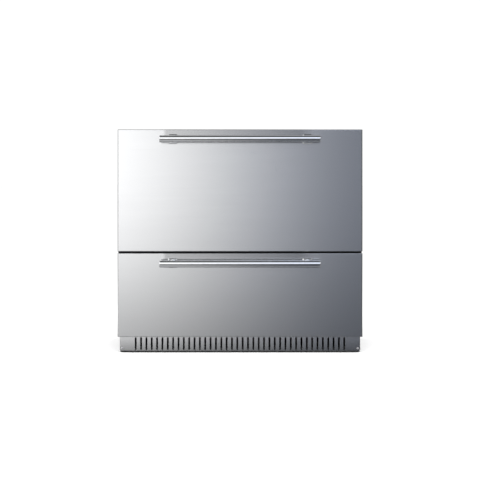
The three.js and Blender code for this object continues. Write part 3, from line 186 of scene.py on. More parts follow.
def lathe(axis, section, sides, centre=(0, 0, 0)):
    """A line of (radius, height) turned about an axis."""
    rings = []
    for radius, height in section:
        outline = circle(0, 0, max(radius, 1e-4), sides)
        rings.append([tuple(Vector(point) + Vector(centre)) for point in ring(axis, outline, height)])
    return loft(rings)


def bent_sheet(line, thickness, inside):
    """Outline of a sheet along a line of straight runs with round bends between them."""
    half = thickness / 2
    radius = inside + half
    steps = 5
    line = [Vector(point) for point in line]
    runs = [(b - a).normalized() for a, b in zip(line, line[1:])]
    left, right = [], []

    def add(centre_line, outward, side):
        left.append(centre_line - outward * side * half)
        right.append(centre_line + outward * side * half)

    def normal(run):
        return Vector((-run.y, run.x))

    add(line[0], normal(runs[0]), -1)
    for k in range(1, len(line) - 1):
        before, after = runs[k - 1], runs[k]
        turn = math.atan2(before.x * after.y - before.y * after.x, before.dot(after))
        side = 1 if turn > 0 else -1
        start = line[k] - before * radius * math.tan(abs(turn) / 2)
        centre = start + normal(before) * side * radius
        for i in range(steps + 1):
            outward = Matrix.Rotation(turn * i / steps, 2) @ (-side * normal(before))
            add(centre + outward * radius, outward, side)
    add(line[-1], normal(runs[-1]), -1)
    return [tuple(point) for point in right + left[::-1]]


def pan(low, high, sheet, edge, corner):
    """A sheet pan that fills a box, closed at its lowest y and open at its highest. corner is the
    rounding of its lower and its upper corners."""

    def hoop(inset, y):
        lower, upper = (max(r - inset, 0.2) for r in corner)
        outline = rounded(low.x + inset, high.x - inset, low.z + inset, high.z - inset, lower, upper)
        return ring("y", outline, y)

    outer = [hoop(v, low.y + u) for u, v in fillet(edge, 6)]
    inner = [hoop(sheet + v, low.y + sheet + u) for u, v in fillet(max(edge - sheet, 0.3), 6)]
    return loft(outer[::-1] + [hoop(0, high.y), hoop(sheet, high.y)] + inner)


def ball(radius, centre):
    """A ball whose poles are flat."""
    sides, rows = 12, 8
    turns = [math.pi * r / rows for r in range(1, rows)]
    return lathe("z", [(radius * math.sin(t), radius * math.cos(t)) for t in turns], sides, centre)


# ------------ objects

BEVEL_FROM = 50  # a bevel eases the edges that turn by more than this, in degrees
SHARP_FROM = 32  # and shading breaks at those that turn by more than this


def mesh_of(name, form):
    """A mesh of a form, in metres, without doubled points."""
    mesh = bpy.data.meshes.new(name)
    mesh.from_pydata([tuple(c * MM for c in point) for point in form[0]], [], form[1])
    bm = bmesh.new()
    bm.from_mesh(mesh)
    bmesh.ops.remove_doubles(bm, verts=bm.verts, dist=1e-7)
    bmesh.ops.dissolve_degenerate(bm, edges=bm.edges, dist=1e-8)
    bmesh.ops.recalc_face_normals(bm, faces=bm.faces)
    bm.to_mesh(mesh)
    bm.free()
    return mesh


def object_of(name, data):
    """A new object in the scene, for a mesh, a lamp or a camera."""
    obj = bpy.data.objects.new(name, data)
    bpy.context.scene.collection.objects.link(obj)
    return obj


def settled(obj):
    """Turns the object's modifiers into its mesh."""
    graph = bpy.context.evaluated_depsgraph_get()
    mesh = bpy.data.meshes.new_from_object(
        obj.evaluated_get(graph), preserve_all_data_layers=True, depsgraph=graph
    )
    old = obj.data
    obj.modifiers.clear()
    obj.data = mesh
    mesh.name = obj.name
    bpy.data.meshes.remove(old)


def cut_away(obj, form):
    """Takes a form out of an object."""
    cutter = object_of(obj.name + ".cut", mesh_of(obj.name + ".cut", form))
    mod = obj.modifiers.new("cut", "BOOLEAN")
    mod.operation = "DIFFERENCE"
    mod.solver = "EXACT"
    mod.object = cutter
    settled(obj)
    bpy.data.objects.remove(cutter)


def ease_edges(obj, width):
    """Bevels an object's sharper edges."""
    mod = obj.modifiers.new("edges", "BEVEL")
    mod.width = width * MM
    mod.segments = 2
    mod.limit_method = "ANGLE"
    mod.angle_limit = math.radians(BEVEL_FROM)
    settled(obj)


def add_parts(obj, parts):
    """Further forms in the same object, each with its own material."""
    bm = bmesh.new()
    bm.from_mesh(obj.data)
    for index, (form, material) in enumerate(parts, 1):
        extra = mesh_of("extra", form)
        start = len(bm.faces)
        bm.from_mesh(extra)
        bm.faces.ensure_lookup_table()
        for face in bm.faces[start:]:
            face.material_index = index
        obj.data.materials.append(material)
        bpy.data.meshes.remove(extra)
    bm.to_mesh(obj.data)
    bm.free()


def piece(name, form, body, replaces, finish=None, cuts=None, bevel=0.0, parts=()):
    """One visible piece: a form, less its cuts, with its edges eased and its shading settled. It takes
    the material of the slot of the node it replaces, which it hides. A finish is a key of M, by default
    the slot. parts are further (form, finish) pairs."""
    slot = SLOT_OF[replaces]
    obj = object_of(name, mesh_of(name, form))
    obj.data.materials.append(M[finish or slot])
    if cuts:
        cut_away(obj, cuts)
    if bevel:
        ease_edges(obj, bevel)
    if parts:
        add_parts(obj, [(one, M[key]) for one, key in parts])
    obj.data.polygons.foreach_set("use_smooth", [True] * len(obj.data.polygons))
    obj.data.set_sharp_from_angle(angle=math.radians(SHARP_FROM))
    mod = obj.modifiers.new("normals", "WEIGHTED_NORMAL")
    mod.keep_sharp = True
    settled(obj)
    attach(obj, body)
    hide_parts(replaces)


# ------------ nodes


def put(tree, socket, value):
    """Links a socket to another, or gives it a plain value."""
    if isinstance(value, bpy.types.NodeSocket):
        tree.links.new(value, socket)
    else:
        socket.default_value = value


def add_node(tree, kind, **values):
    """A node with its settings and inputs. An underscore in an input's name stands for a space."""
    node = tree.nodes.new(kind)
    for key, value in values.items():
        if hasattr(node, key) and key not in node.inputs:
            setattr(node, key, value)
        else:
            put(tree, node.inputs[key.replace("_", " ")], value)
    return node


def maths(tree, operation, *values):
    """The output of a Math node."""
    node = tree.nodes.new("ShaderNodeMath")
    node.operation = operation
    for socket, value in zip(node.inputs, values):
        put(tree, socket, value)
    return node.outputs[0]


# ------------ materials


class Nodes:
    """Short names for building a material's node tree."""

    def __init__(self, name):
        self.material = bpy.data.materials.new(name)
        self.material.use_nodes = True
        self.tree = self.material.node_tree
        self.place = self.new("ShaderNodeTexCoord").outputs["Object"]

    def new(self, kind, **values):
        return add_node(self.tree, kind, **values)

    def scaled(self, scale):
        return self.new("ShaderNodeMapping", Vector=self.place, Scale=scale).outputs[0]

    def noise(self, scale, detail):
        node = self.new("ShaderNodeTexNoise", Vector=self.scaled(scale), Scale=1.0, Detail=detail)
        return node.outputs["Fac"]

    def between(self, factor, low, high):
        """factor stretched from the middle of the noise's range to low..high."""
        return self.new(
            "ShaderNodeMapRange", Value=factor, From_Min=0.3, From_Max=0.7, To_Min=low, To_Max=high
        ).outputs[0]

    def ramp(self, value, low, high, kind="SMOOTHSTEP"):
        """0 below low and 1 above high, or the other way round where low is the greater."""
        return self.new(
            "ShaderNodeMapRange", Value=value, interpolation_type=kind, From_Min=low, From_Max=high
        ).outputs[0]

    def along(self, axis):
        return self.new("ShaderNodeSeparateXYZ", Vector=self.place).outputs[axis]

    def patch(self, left, right, low, high):
        """A soft rectangle in x and z. Each side is the pair of places (outside, inside)."""
        x, z = self.along("X"), self.along("Z")
        total = self.ramp(x, *left)
        for place, side in ((x, right), (z, low), (z, high)):
            total = maths(self.tree, "MULTIPLY", total, self.ramp(place, *side))
        return total

    def mix(self, factor, one, two):
        node = self.tree.nodes.new("ShaderNodeMix")
        node.data_type = "RGBA"
        for index, value in ((0, factor), (6, one), (7, two)):
            put(self.tree, node.inputs[index], value)
        return node.outputs[2]

    def bump(self, height, strength, distance):
        node = self.new("ShaderNodeBump", Height=height, Strength=strength, Distance=distance)
        return node.outputs[0]

    def finish(self, **sockets):
        shader = self.tree.nodes["Principled BSDF"]
        for key, value in sockets.items():
            put(self.tree, shader.inputs[key.replace("_", " ")], value)
        return self.material


def shade(colour, factor):
    """A colour made darker or lighter, with its alpha."""
    return tuple(min(c * factor, 1.0) for c in colour[:3]) + (1.0,)


STEEL = (0.665, 0.669, 0.676)
HANDLE_SHADE_TONE = 0.68  # painted shade: tone of the steel between a handle and the front's upper edge, as if in the handle's shadow
ALONG = 3  # noise scale along the brushing


def brushed(name, colour, rough, along, anisotropic=0.0, turn=0.0, streak=0.03, bump=0.05, fine=900,
            spread=0.03, floor_shade=None, painted_shadows=()):
    """Steel brushed along some axes: long streaks in its colour, roughness and surface. The argument
    before last, if given, is (low, high, tone): heights in metres over which the colour clears upwards
    from a darker tone, a painted shade towards the floor. The last holds places (left, right, low,
    high) painted a little darker, a painted shadow as if a handle shaded the steel."""
    n = Nodes(name)
    fine_streaks = n.noise([ALONG if axis in along else fine for axis in "xyz"], 2.0)
    broad_streaks = n.noise([ALONG if axis in along else fine / 22 for axis in "xyz"], 2.0)
    tone = n.mix(
        n.between(broad_streaks, 0, 1), shade(colour, 1 - streak), shade(colour, 1 + streak * 0.6)
    )
    tone = n.mix(n.between(fine_streaks, 0, 0.5), tone, shade(colour, 1 - streak * 2))
    # Painted shade: below the given heights the colour darkens towards the floor.
    if floor_shade:
        low, high, floor_shade_tone = floor_shade
        tone = n.mix(n.ramp(n.along("Z"), low, high, "LINEAR"), shade(colour, floor_shade_tone), tone)
    # Painted shadows: soft patches where the steel is darker, as if a handle shaded it.
    for painted_shadow in painted_shadows:
        tone = n.mix(n.patch(*painted_shadow), tone, shade(colour, HANDLE_SHADE_TONE))
    relief = {"Normal": n.bump(fine_streaks, bump, 0.0002)} if bump else {}
    return n.finish(
        Base_Color=tone,
        Metallic=1.0,
        Roughness=n.between(fine_streaks, rough - spread, rough + spread),
        Anisotropic=anisotropic,
        Anisotropic_Rotation=turn,
        **relief,
    )


def mottled(name, colour, rough, scale, spread, metallic=0.0, grain=0, bump=0.1, distance=0.0002,
            wander=0.05):
    """A finish with soft colour clouds and an even grain."""
    n = Nodes(name)
    clouds = n.noise((scale,) * 3, 4.0)
    relief = {"Normal": n.bump(n.noise((grain,) * 3, 2.0), bump, distance)} if grain else {}
    return n.finish(
        Base_Color=n.mix(n.between(clouds, 0, 1), shade(colour, 1 - spread), shade(colour, 1 + spread)),
        Metallic=metallic,
        Roughness=n.between(clouds, max(rough - wander, 0.02), rough + wander),
        **relief,
    )


def galvanised(name):
    """Zinc-coated sheet: flat spangles a few millimetres across."""
    n = Nodes(name)
    cells = n.new("ShaderNodeTexVoronoi", Vector=n.scaled((95,) * 3), Scale=1.0)
    grey = n.new("ShaderNodeRGBToBW", Color=cells.outputs["Color"]).outputs[0]
    clouds = n.noise((25,) * 3, 3.0)
    tone = n.mix(grey, (0.52, 0.54, 0.56, 1), (0.66, 0.68, 0.70, 1))
    tone = n.mix(n.between(clouds, 0, 0.35), tone, (0.57, 0.58, 0.58, 1))
    return n.finish(
        Base_Color=tone,
        Metallic=0.85,
        Roughness=n.between(grey, 0.3, 0.42),
        Normal=n.bump(n.noise((700,) * 3, 2.0), 0.08, 0.0002),
    )


def handle_shadow_patch(drawer):
    """The steel between a handle and the upper edge of its front, in metres, where a painted shadow of the
    handle darkens it.
    """
    low, high = box(f"{drawer}_handle_bar")
    top = box(f"{drawer}_front_skin")[1].z
    return (
        ((low.x + 8) * MM, (low.x + 24) * MM),
        ((high.x - 12) * MM, (high.x - 80) * MM),
        ((high.z - 7) * MM, (high.z + 2) * MM),
        ((top + 2) * MM, (top - 1) * MM),
    )


ACROSS_THE_FRONT = dict(along="xy", anisotropic=0.6, turn=0.25, streak=0.012, bump=0.0, spread=0.004)
M = {  # by slot, with three further finishes
    "stainless_front": brushed(
        "front_steel", STEEL, 0.146, **ACROSS_THE_FRONT, painted_shadows=[handle_shadow_patch(d) for d in DRAWERS]
    ),
    # Painted light: the kick plate's steel is the fronts' steel made 12% lighter, and painted shade darkens
    # it towards the floor.
    "kick_steel": brushed(
        "kick_steel", shade(STEEL, 1.12), 0.165, **ACROSS_THE_FRONT, floor_shade=(0.004, 0.05, 0.54)
    ),
    "handle_steel": brushed("bar_steel", (0.78, 0.79, 0.8), 0.13, "yz", streak=0.015, bump=0.02, fine=1500),
    "screw_steel": brushed("screw_steel", (0.62, 0.62, 0.63), 0.3, "x", bump=0.03, fine=1500),
    "slide_steel": mottled("slide_steel", (0.52, 0.54, 0.56), 0.36, 45, 0.07, 0.95, 900, 0.05),
    "bearing_steel": mottled("bearing_steel", (0.75, 0.75, 0.76), 0.14, 200, 0.03, 1.0),
    "drawer_box_steel": brushed(
        "drawer_box_steel", (0.6, 0.61, 0.62), 0.34, "xy", anisotropic=0.5, turn=0.25, fine=700
    ),
    "foamed_core": mottled("inner_panel_plastic", (0.78, 0.80, 0.81), 0.42, 20, 0.02, 0, 1400, 0.12),
    "black_rubber": mottled("gasket_rubber", (0.03, 0.03, 0.032), 0.62, 60, 0.15, 0, 1200, 0.2),
    "black_cabinet": mottled(
        "black_paint", (0.014, 0.0145, 0.016), 0.42, 30, 0.05, 0, 1100, 0.25, distance=0.0003, wander=0.012
    ),
    "galvanised_steel": galvanised("zinc_sheet"),
    "insulation_foam": mottled("insulation_foam", (0.72, 0.62, 0.36), 0.85, 60, 0.12, 0, 400, 0.4, 0.001),
    "liner_plastic": mottled("liner_plastic", (0.7, 0.72, 0.73), 0.34, 12, 0.02, 0, 1300),
    "coil_aluminium": mottled("coil_aluminium", (0.74, 0.75, 0.76), 0.36, 120, 0.06, 0.95, 900, 0.06),
    "copper_line": mottled("copper_line", (0.66, 0.33, 0.18), 0.32, 90, 0.16, 0.95, 700, 0.08),
    "compressor_enamel": mottled("compressor_enamel", (0.010, 0.0105, 0.012), 0.26, 40, 0.1, 0, 500, 0.12),
    "light_lens": mottled("light_lens", (0.86, 0.88, 0.9), 0.22, 90, 0.02, 0, 1800, 0.08),
    "button_plastic": mottled("button_plastic", (0.55, 0.57, 0.60), 0.33, 90, 0.04, 0, 1500, 0.08),
    "black_plastic": mottled("black_plastic", (0.017, 0.0175, 0.019), 0.44, 60, 0.14, 0, 1400, 0.2),
    "display_glass": mottled("display_glass", (0.008, 0.009, 0.012), 0.07, 30, 0.1),
}


# ------------ drawer fronts

FRONT_SHEET = 1.0
FRONT_EDGE = (5.0, 2.5)  # rounding of the upright edges, and of the upper and lower ones
RETURN = 5.0  # edge of the skin, folded in behind the core
PLUG_GAP = 8.0  # between the liner and the raised middle of the inner panel
PLUG_EDGE = 5.0
# The recess in its middle: inset, depth and corner radius.
RECESS = ((34, 0, 20), (34.8, 0.3, 19.6), (37, 2.4, 18.4), (38, 2.8, 18), (48, 2.8, 14))


def side_ring(drawer, inset, y, steps):
    """Outline of a front's sides, its corners hardly rounded."""
    low, high = box(f"{drawer}_front_skin")
    outline = rounded(low.x + inset, high.x - inset, low.z + inset, high.z - inset, 0.5, steps=steps)
    return ring("y", outline, y)


def face_rings(drawer, inset):
    """Rings around a front's rounded edges, from its sides to its face."""
    low, high = box(f"{drawer}_front_skin")
    rings = []
    for (u, v), (_, w) in zip(fillet(FRONT_EDGE[0] - inset, 8), fillet(FRONT_EDGE[1] - inset, 8)):
        a, b = inset + v, inset + w
        outline = rounded(low.x + a, high.x - a, low.z + b, high.z - b, 1.5 - inset, steps=3)
        rings.append(ring("y", outline, low.y + inset + u))
    return rings


def make_front_skin(drawer):
    """Steel skin, folded round the core's edges."""
    rear = box(f"{drawer}_front_skin")[1].y
    inside = rear - FRONT_SHEET
    folded = ((FRONT_SHEET, inside), (RETURN, inside), (RETURN, rear), (1.1, rear), (0.35, rear - 0.3),
              (0, rear - 1.1))
    skin = loft(
        face_rings(drawer, FRONT_SHEET)[::-1]
        + [side_ring(drawer, inset, y, 3) for inset, y in folded]
        + face_rings(drawer, 0)
    )
    piece(f"{drawer}_front_panel", skin, f"{drawer}_drawer", f"{drawer}_front_skin")


def make_front_core(drawer):
    """Foamed core behind the skin, with the moulded inner panel's raised and recessed middle."""
    low, high = box(f"{drawer}_front_core")
    rear = box(f"{drawer}_front_skin")[1].y
    half = LINER_HALF - PLUG_GAP
    bottom, top = LINER_FLOOR + PLUG_GAP, box("mullion")[0].z - PLUG_GAP
    if drawer == "upper":
        bottom, top = box("mullion")[1].z + PLUG_GAP, LINER_TOP - PLUG_GAP

    def raised(inset, y, corner=8.0):
        outline = rounded(-half + inset, half - inset, bottom + inset, top - inset, corner)
        return ring("y", outline, y)

    sides = ((7, low.y + 4), (1.3, low.y + 9), (1.3, rear - 1.3), (RETURN + 0.3, rear - 1.3),
             (RETURN + 0.3, rear))
    core = loft(
        [side_ring(drawer, inset, y, 6) for inset, y in sides]
        + [raised(-2, rear, 9), raised(-0.6, rear + 0.5, 8.6), raised(0, rear + 2)]
        + [raised(v, high.y - u) for u, v in fillet(PLUG_EDGE, 6)]
        + [raised(inset, high.y - depth, corner) for inset, depth, corner in RECESS]
    )
    piece(f"{drawer}_inner_panel", core, f"{drawer}_drawer", f"{drawer}_front_core")


# ------------ gaskets

GASKET_WIDTH = 14.0
# Half of the section, as shares of its width and depth: a base, a bellows waist and a soft head.
GASKET_HALF = [
    (0, 0), (0, 0.16), (0.03, 0.22), (0.14, 0.28), (0.18, 0.33), (0.18, 0.41), (0.13, 0.46),
    (0.03, 0.51), (0, 0.58), (0, 0.86), (0.02, 0.96), (0.06, 1), (0.3, 1), (0.34, 0.95), (0.5, 0.93),
]
LIP_SHEET = 0.8
LIP_RISE = 5.2  # over the lower front's upper edge


def make_gasket(drawer):
    """Magnetic gasket all round behind a front."""
    low, high = box(f"{drawer}_gasket")
    rings = []
    for u, v in GASKET_HALF + [(1 - u, v) for u, v in GASKET_HALF[-2::-1]]:
        inset = u * GASKET_WIDTH
        x0, x1, z0, z1 = low.x + inset, high.x - inset, low.z + inset, high.z - inset
        y = low.y + v * (high.y - low.y)
        rings.append(ring("y", [(x0, z0), (x1, z0), (x1, z1), (x0, z1)], y))
    form = loft(rings, closed=True)
    if drawer == "lower":
        # A thin lip on its upper edge closes the gap between the fronts from behind.
        skin_low, skin_high = box("lower_front_skin")
        y = skin_high.y + 0.9
        lip = bent_sheet([(y, high.z - 6), (y, skin_high.z + LIP_RISE)], LIP_SHEET, 0.3)
        form = joined(form, prism("x", lip, skin_low.x + 0.6, skin_high.x - 0.6))
    piece(f"{drawer}_bellows_gasket", form, f"{drawer}_drawer", f"{drawer}_gasket")


for drawer in DRAWERS:
    make_front_skin(drawer)
    make_front_core(drawer)
    make_gasket(drawer)


# ------------ handles

BAR_EDGE = 2.5
NECK_RADIUS = 9.5
NECK_FILLET = 3.0
PLATE_THICKNESS = 6.7
PLATE_CHAMFER = 3.6
PLATE_CORNER = 7.0


def make_bar(drawer):
    """Round bar with rounded ends and a flat plug in each."""
    low, high = box(f"{drawer}_handle_bar")
    radius = (high.z - low.z) / 2
    end = [(0, 0.5), (radius - 4.2, 0.5), (radius - 3.6, 0)]
    end += [(radius - u, v) for u, v in fillet(BAR_EDGE, 5)]
    section = [(r, low.x + x) for r, x in end] + [(r, high.x - x) for r, x in end[::-1]]
    bar = lathe("x", section, 64, (0, (low.y + high.y) / 2, (low.z + high.z) / 2))
    piece(f"{drawer}_handle_tube", bar, f"{drawer}_drawer", f"{drawer}_handle_bar")


def make_post(drawer, side):
    """Neck behind the bar on a chamfered wall plate, with a grub screw from below."""
    low, high = box(f"{drawer}_handle_post_{side}")
    x, half, rear = (low.x + high.x) / 2, (high.x - low.x) / 2, high.y
    face = rear - PLATE_THICKNESS
    _, bar_y, z = middle(f"{drawer}_handle_bar")
    bar_rear = box(f"{drawer}_handle_bar")[1].y
    start = (bar_y + bar_rear) / 2  # inside the bar

    section = [(0, start), (NECK_RADIUS, start)]
    section += [(NECK_RADIUS + v, face - u) for u, v in fillet(NECK_FILLET, 5)] + [(0, face + 1)]
    neck = lathe("y", section, 48, (x, 0, z))

    def plate_ring(inset, y):
        a, corner = half - inset, PLATE_CORNER - inset * 0.9
        return ring("y", rounded(x - a, x + a, z - a, z + a, corner), y)

    slope = PLATE_CHAMFER
    plate = loft([
        plate_ring(0, rear),
        plate_ring(0, face + slope + 0.4),
        plate_ring(0.15, face + slope),
        plate_ring(slope, face + 0.15),
        plate_ring(slope + 0.4, face),
    ])
    sunk = [(0, -0.15), (1.2, -0.15), (1.3, 1.2), (1.9, 0.1), (2.0, 0.4), (2.0, 2), (0, 2)]
    grub = lathe("z", sunk, 16, (x, (bar_rear + face) / 2, z - NECK_RADIUS))
    piece(f"{drawer}_handle_standoff_{side}", joined(neck, plate, grub), f"{drawer}_drawer",
          f"{drawer}_handle_post_{side}")


for drawer in DRAWERS:
    make_bar(drawer)
    for side, _ in SIDES:
        make_post(drawer, side)


# ------------ screws

SHANK = 2.0
FACING = {
    "-y": Matrix.Rotation(math.radians(90), 3, "X"),
    "+y": Matrix.Rotation(math.radians(-90), 3, "X"),
}


def screw_head(radius, rise):
    """A pan head with a cross recess, its seat at z = 0, facing +z."""
    sides, rows = 32, 8
    reach, narrow, sunk = radius * 0.62, radius * 0.13, rise * 0.55
    rings = []
    for k in range(rows + 1):
        share = k / rows
        # The first ring is a hair wide, so that the head has a middle to close on.
        hair = 0 if k else 1e-4
        points = []
        for i in range(sides):
            t = 2 * math.pi * (i + 0.5) / sides
            x, y = radius * share * math.cos(t), radius * share * math.sin(t)
            z = rise * (1 - 0.55 * share**2.6)
            inside = max(abs(x), abs(y)) < reach and min(abs(x), abs(y)) < narrow
            points.append((x + hair * math.cos(i), y + hair * math.sin(i), z - sunk if inside else z))
        rings.append(points)
    rings.append([(x, y, 0.0) for x, y, _ in rings[-1]])
    return loft(rings)


def screw(facing, place, radius=4.0, rise=2.2, depth=6.0):
    """A screw whose head sits at a place and whose shank goes in from there."""
    shank = lathe("z", [(0.3, -depth), (SHANK, -depth + 1.5), (SHANK, 0.2), (0.3, 0.2)], 16)
    return moved(turned_by(joined(screw_head(radius, rise), shank), FACING[facing]), *place)


# ------------ kick plate

SLOTS = 40
SLOT_WIDTH = 6.8
SLOT_ENDS = (9.0, KICK_HIGH.z - 2.5)
SLOT_MARGIN = 58.0  # from the plate's end to the middle of its first slot
KICK_SHEET = 1.2
KICK_EDGE = 1.5  # rounding of its bent edges
KICK_CORNERS = (6.0, KICK_EDGE)  # rounding of its lower and its upper corners


def make_kick_plate():
    """Steel pan with the slots and the screw holes cut through it."""
    first = KICK_LOW.x + SLOT_MARGIN
    pitch = -2 * first / (SLOTS - 1)
    through = (KICK_LOW.y - 2, KICK_LOW.y + 4)
    cuts = [
        prism("y", stadium(first + i * pitch, *SLOT_ENDS, SLOT_WIDTH), *through) for i in range(SLOTS)
    ]
    for side, _ in SIDES:
        x, _, z = middle(f"kick_screw_{side}")
        cuts.append(prism("y", circle(x, z, SHANK + 0.3), *through))
    plate = pan(KICK_LOW, KICK_HIGH, KICK_SHEET, KICK_EDGE, KICK_CORNERS)
    piece("kick_grille", plate, "cabinet", "kick_plate", "kick_steel", joined(*cuts), bevel=0.12)


def make_kick_screw(side):
    """Screw near a lower corner of the kick plate."""
    x, _, z = middle(f"kick_screw_{side}")
    depth = box(f"kick_screw_{side}")[1].y - KICK_LOW.y
    form = screw("-y", (x, KICK_LOW.y - 0.3, z), depth=depth)
    piece(f"kick_fixing_{side}", form, "cabinet", f"kick_screw_{side}")


make_kick_plate()
for side, _ in SIDES:
    make_kick_screw(side)


# ------------ telescopic slides
# Each member is a bent sheet. Its section is drawn from the wall outwards and up from the middle.

RAIL_SHEET = 1.2
RAIL_BEND = 0.8
SHEET_HALF = RAIL_SHEET / 2
CHANNEL_TIP, CHANNEL_LIP = 9.4, 3.6
MEMBER_WEB, MEMBER_TIP, MEMBER_HALF = 2.4, 10.6 - SHEET_HALF, 17.25 - SHEET_HALF
RUNNER_WEB, RUNNER_TIP, RUNNER_HALF = 12.4 - SHEET_HALF, 4.6, 11.7 - SHEET_HALF
BALL_PITCH = 15.0
BALL_RADIUS = 2.1
CAGE_HALF = (2.6, 0.4)
HOLE_RADIUS = 3.2
BALL_ROWS = (
    # height from the slide's middle, distance from the wall, start and run as shares of the length
    (19.2, 5.6, 0.52, 0.44),
    (14.1, 7.6, 0.04, 0.44),
)


def make_slide(drawer, side, sign):
    """Three members one inside the other, with the balls between them."""
    low, high = box(f"{drawer}_slide_outer_{side}")
    wall = high.x if sign > 0 else low.x
    middle_z = (low.z + high.z) / 2
    length = high.y - low.y

    def rail(web, tip, half, lip=None):
        line = [(tip, half), (web, half), (web, -half), (tip, -half)]
        if lip:
            line = [(tip, half - lip), *line, (tip, lip - half)]
        outline = [(wall - sign * u, middle_z + v) for u, v in bent_sheet(line, RAIL_SHEET, RAIL_BEND)]
        return prism("y", outline, low.y, high.y)

    def holes(*shares):
        ends = (wall - sign * 20, wall + sign * 3)
        places = [low.y + share * length for share in shares]
        return joined(*(prism("x", circle(y, middle_z, HOLE_RADIUS), *ends) for y in places))

    channel = rail(SHEET_HALF, CHANNEL_TIP, (high.z - low.z) / 2 - SHEET_HALF, CHANNEL_LIP)
    piece(f"{drawer}_slide_channel_{side}", channel, "cabinet", f"{drawer}_slide_outer_{side}",
          cuts=holes(0.04, 0.12, 0.88, 0.96), bevel=0.15)

    balls, cages = [], []
    for height, out, start, run in BALL_ROWS:
        x = wall - sign * out
        count = int(run * length // BALL_PITCH)
        first = low.y + start * length
        for z in (middle_z + height, middle_z - height):
            balls += [ball(BALL_RADIUS, (x, first + (i + 0.5) * BALL_PITCH, z)) for i in range(count)]
            a, b = CAGE_HALF
            cage = rounded(x - a, x + a, z - b, z + b, 0.3, steps=2)
            cages.append(prism("y", cage, first, first + count * BALL_PITCH))
    piece(f"{drawer}_slide_member_{side}", rail(MEMBER_WEB, MEMBER_TIP, MEMBER_HALF),
          f"{drawer}_middle_rail_{side}", f"{drawer}_slide_middle_{side}",
          cuts=holes(0.12, 0.88), bevel=0.15,
          parts=[(joined(*cages), "black_plastic"), (joined(*balls), "bearing_steel")])

    head = [(0.1, 0), (2.6, 0), (2.6, sign * 0.5), (1.6, sign * 0.9), (0.1, sign * 0.9)]
    x = wall - sign * (RUNNER_WEB - SHEET_HALF)
    rivets = [lathe("x", head, 16, (x, low.y + share * length, middle_z)) for share in (0.3, 0.7)]
    runner = rail(RUNNER_WEB, RUNNER_TIP, RUNNER_HALF)
    piece(f"{drawer}_slide_runner_{side}", runner, f"{drawer}_drawer", f"{drawer}_slide_inner_{side}",
          cuts=holes(0.12, 0.5, 0.88), bevel=0.15, parts=[(joined(*rivets), "slide_steel")])


for drawer in DRAWERS:
    for side, sign in SIDES:
        make_slide(drawer, side, sign)


# ------------ drawer boxes

BOX_SHEET = 1.2
BOX_CORNER = 14.0
BOX_FOOT = 5.0
BOX_RIM = 5.0
HEM = ((4.9, 8.2), (4.5, 8.9), (3.8, 9.0), (1.8, 9.8), (BOX_SHEET, 11.4))  # inset, depth below the rim
BEADS = (-0.3, -0.1, 0.1, 0.3)  # their places, as shares of the width
BEAD_WIDTH, BEAD_RISE, BEAD_MARGIN = 16.0, 2.2, 45.0


def make_bead(low, high, centre):
    """A long bead that stiffens a box's floor."""
    rings = []
    for t in quarter(5):
        inset = BEAD_WIDTH / 4 * (1 - math.cos(t))
        ends = (low.y + BEAD_MARGIN + inset, high.y - BEAD_MARGIN - inset)
        outline = stadium(centre, *ends, BEAD_WIDTH - 2 * inset)
        rings.append(ring("z", outline, low.z + BOX_SHEET - 0.3 + BEAD_RISE * math.sin(t)))
    return loft(rings)


def make_drawer_box(drawer):
    """Open box with a rounded foot and a rolled rim."""
    low, high = box(f"{drawer}_drawer_box")

    def hoop(inset, z):
        radius = max(BOX_CORNER - inset, 0.4)
        outline = rounded(low.x + inset, high.x - inset, low.y + inset, high.y - inset, radius, steps=8)
        return ring("z", outline, z)

    def foot(inset):
        return [hoop(inset + u, low.z + inset + v) for u, v in fillet(BOX_FOOT - inset, 6)]

    # The rim is rolled over inwards and ends in a small hem.
    half = BOX_RIM / 2
    rim = [hoop(half - a, high.z - half + b) for a, b in arc(half, 0, 180, 10)]
    hem = [hoop(inset, high.z - depth) for inset, depth in HEM]
    form = loft(foot(0) + rim + hem + foot(BOX_SHEET)[::-1])
    beads = [make_bead(low, high, share * (high.x - low.x)) for share in BEADS]
    piece(f"{drawer}_storage_box", form, f"{drawer}_drawer", f"{drawer}_drawer_box",
          parts=[(joined(*beads), "drawer_box_steel")])


for drawer in DRAWERS:
    make_drawer_box(drawer)


# ------------ liner

LINER_SHEET = 2.5
LINER_CORNER = 10.0
STEP_EDGE = 4.0
STEP_FRONT = box("lower_drawer_box")[1].y + 14
STEP_TOP = box("evaporator_cover")[0].z - 10
LINER_BACK = LINER_HIGH.y - LINER_SHEET


def cavity(grown):
    """Rings of the stepped hollow, from its back to its mouth, grown by a margin."""

    def hoop(y, bottom, inset=0.0):
        half, top = LINER_HALF + grown - inset, LINER_TOP + grown - inset
        corner = max(LINER_CORNER - inset, 0.4)
        return ring("y", rounded(-half, half, bottom - grown + inset, top, corner), y)

    back, riser = LINER_BACK + grown, STEP_FRONT + grown
    corner = fillet(LINER_CORNER, 6)
    rings = [hoop(back - v, STEP_TOP, u) for u, v in corner]
    rings += [hoop(riser + u, STEP_TOP - v) for u, v in fillet(STEP_EDGE, 4)]
    rings += [hoop(riser - v, LINER_FLOOR + u) for u, v in corner]
    if grown:
        return rings + [hoop(FRONT + LINER_SHEET, LINER_FLOOR)]
    return rings + [hoop(FRONT + u, LINER_FLOOR, -v) for u, v in fillet(LINER_SHEET, 4)]


def make_liner():
    """Tub with a step over the machine compartment and a flange around its mouth."""
    flange = rounded(LINER_LOW.x, LINER_HIGH.x, LINER_LOW.z, LINER_HIGH.z, 0.5)
    liner = loft(
        cavity(0)
        + [ring("y", flange, FRONT), ring("y", flange, FRONT + LINER_SHEET)]
        + cavity(LINER_SHEET)[::-1]
    )
    piece("liner_tub", liner, "cabinet", "inner_liner")


make_liner()


# ------------ evaporator cover

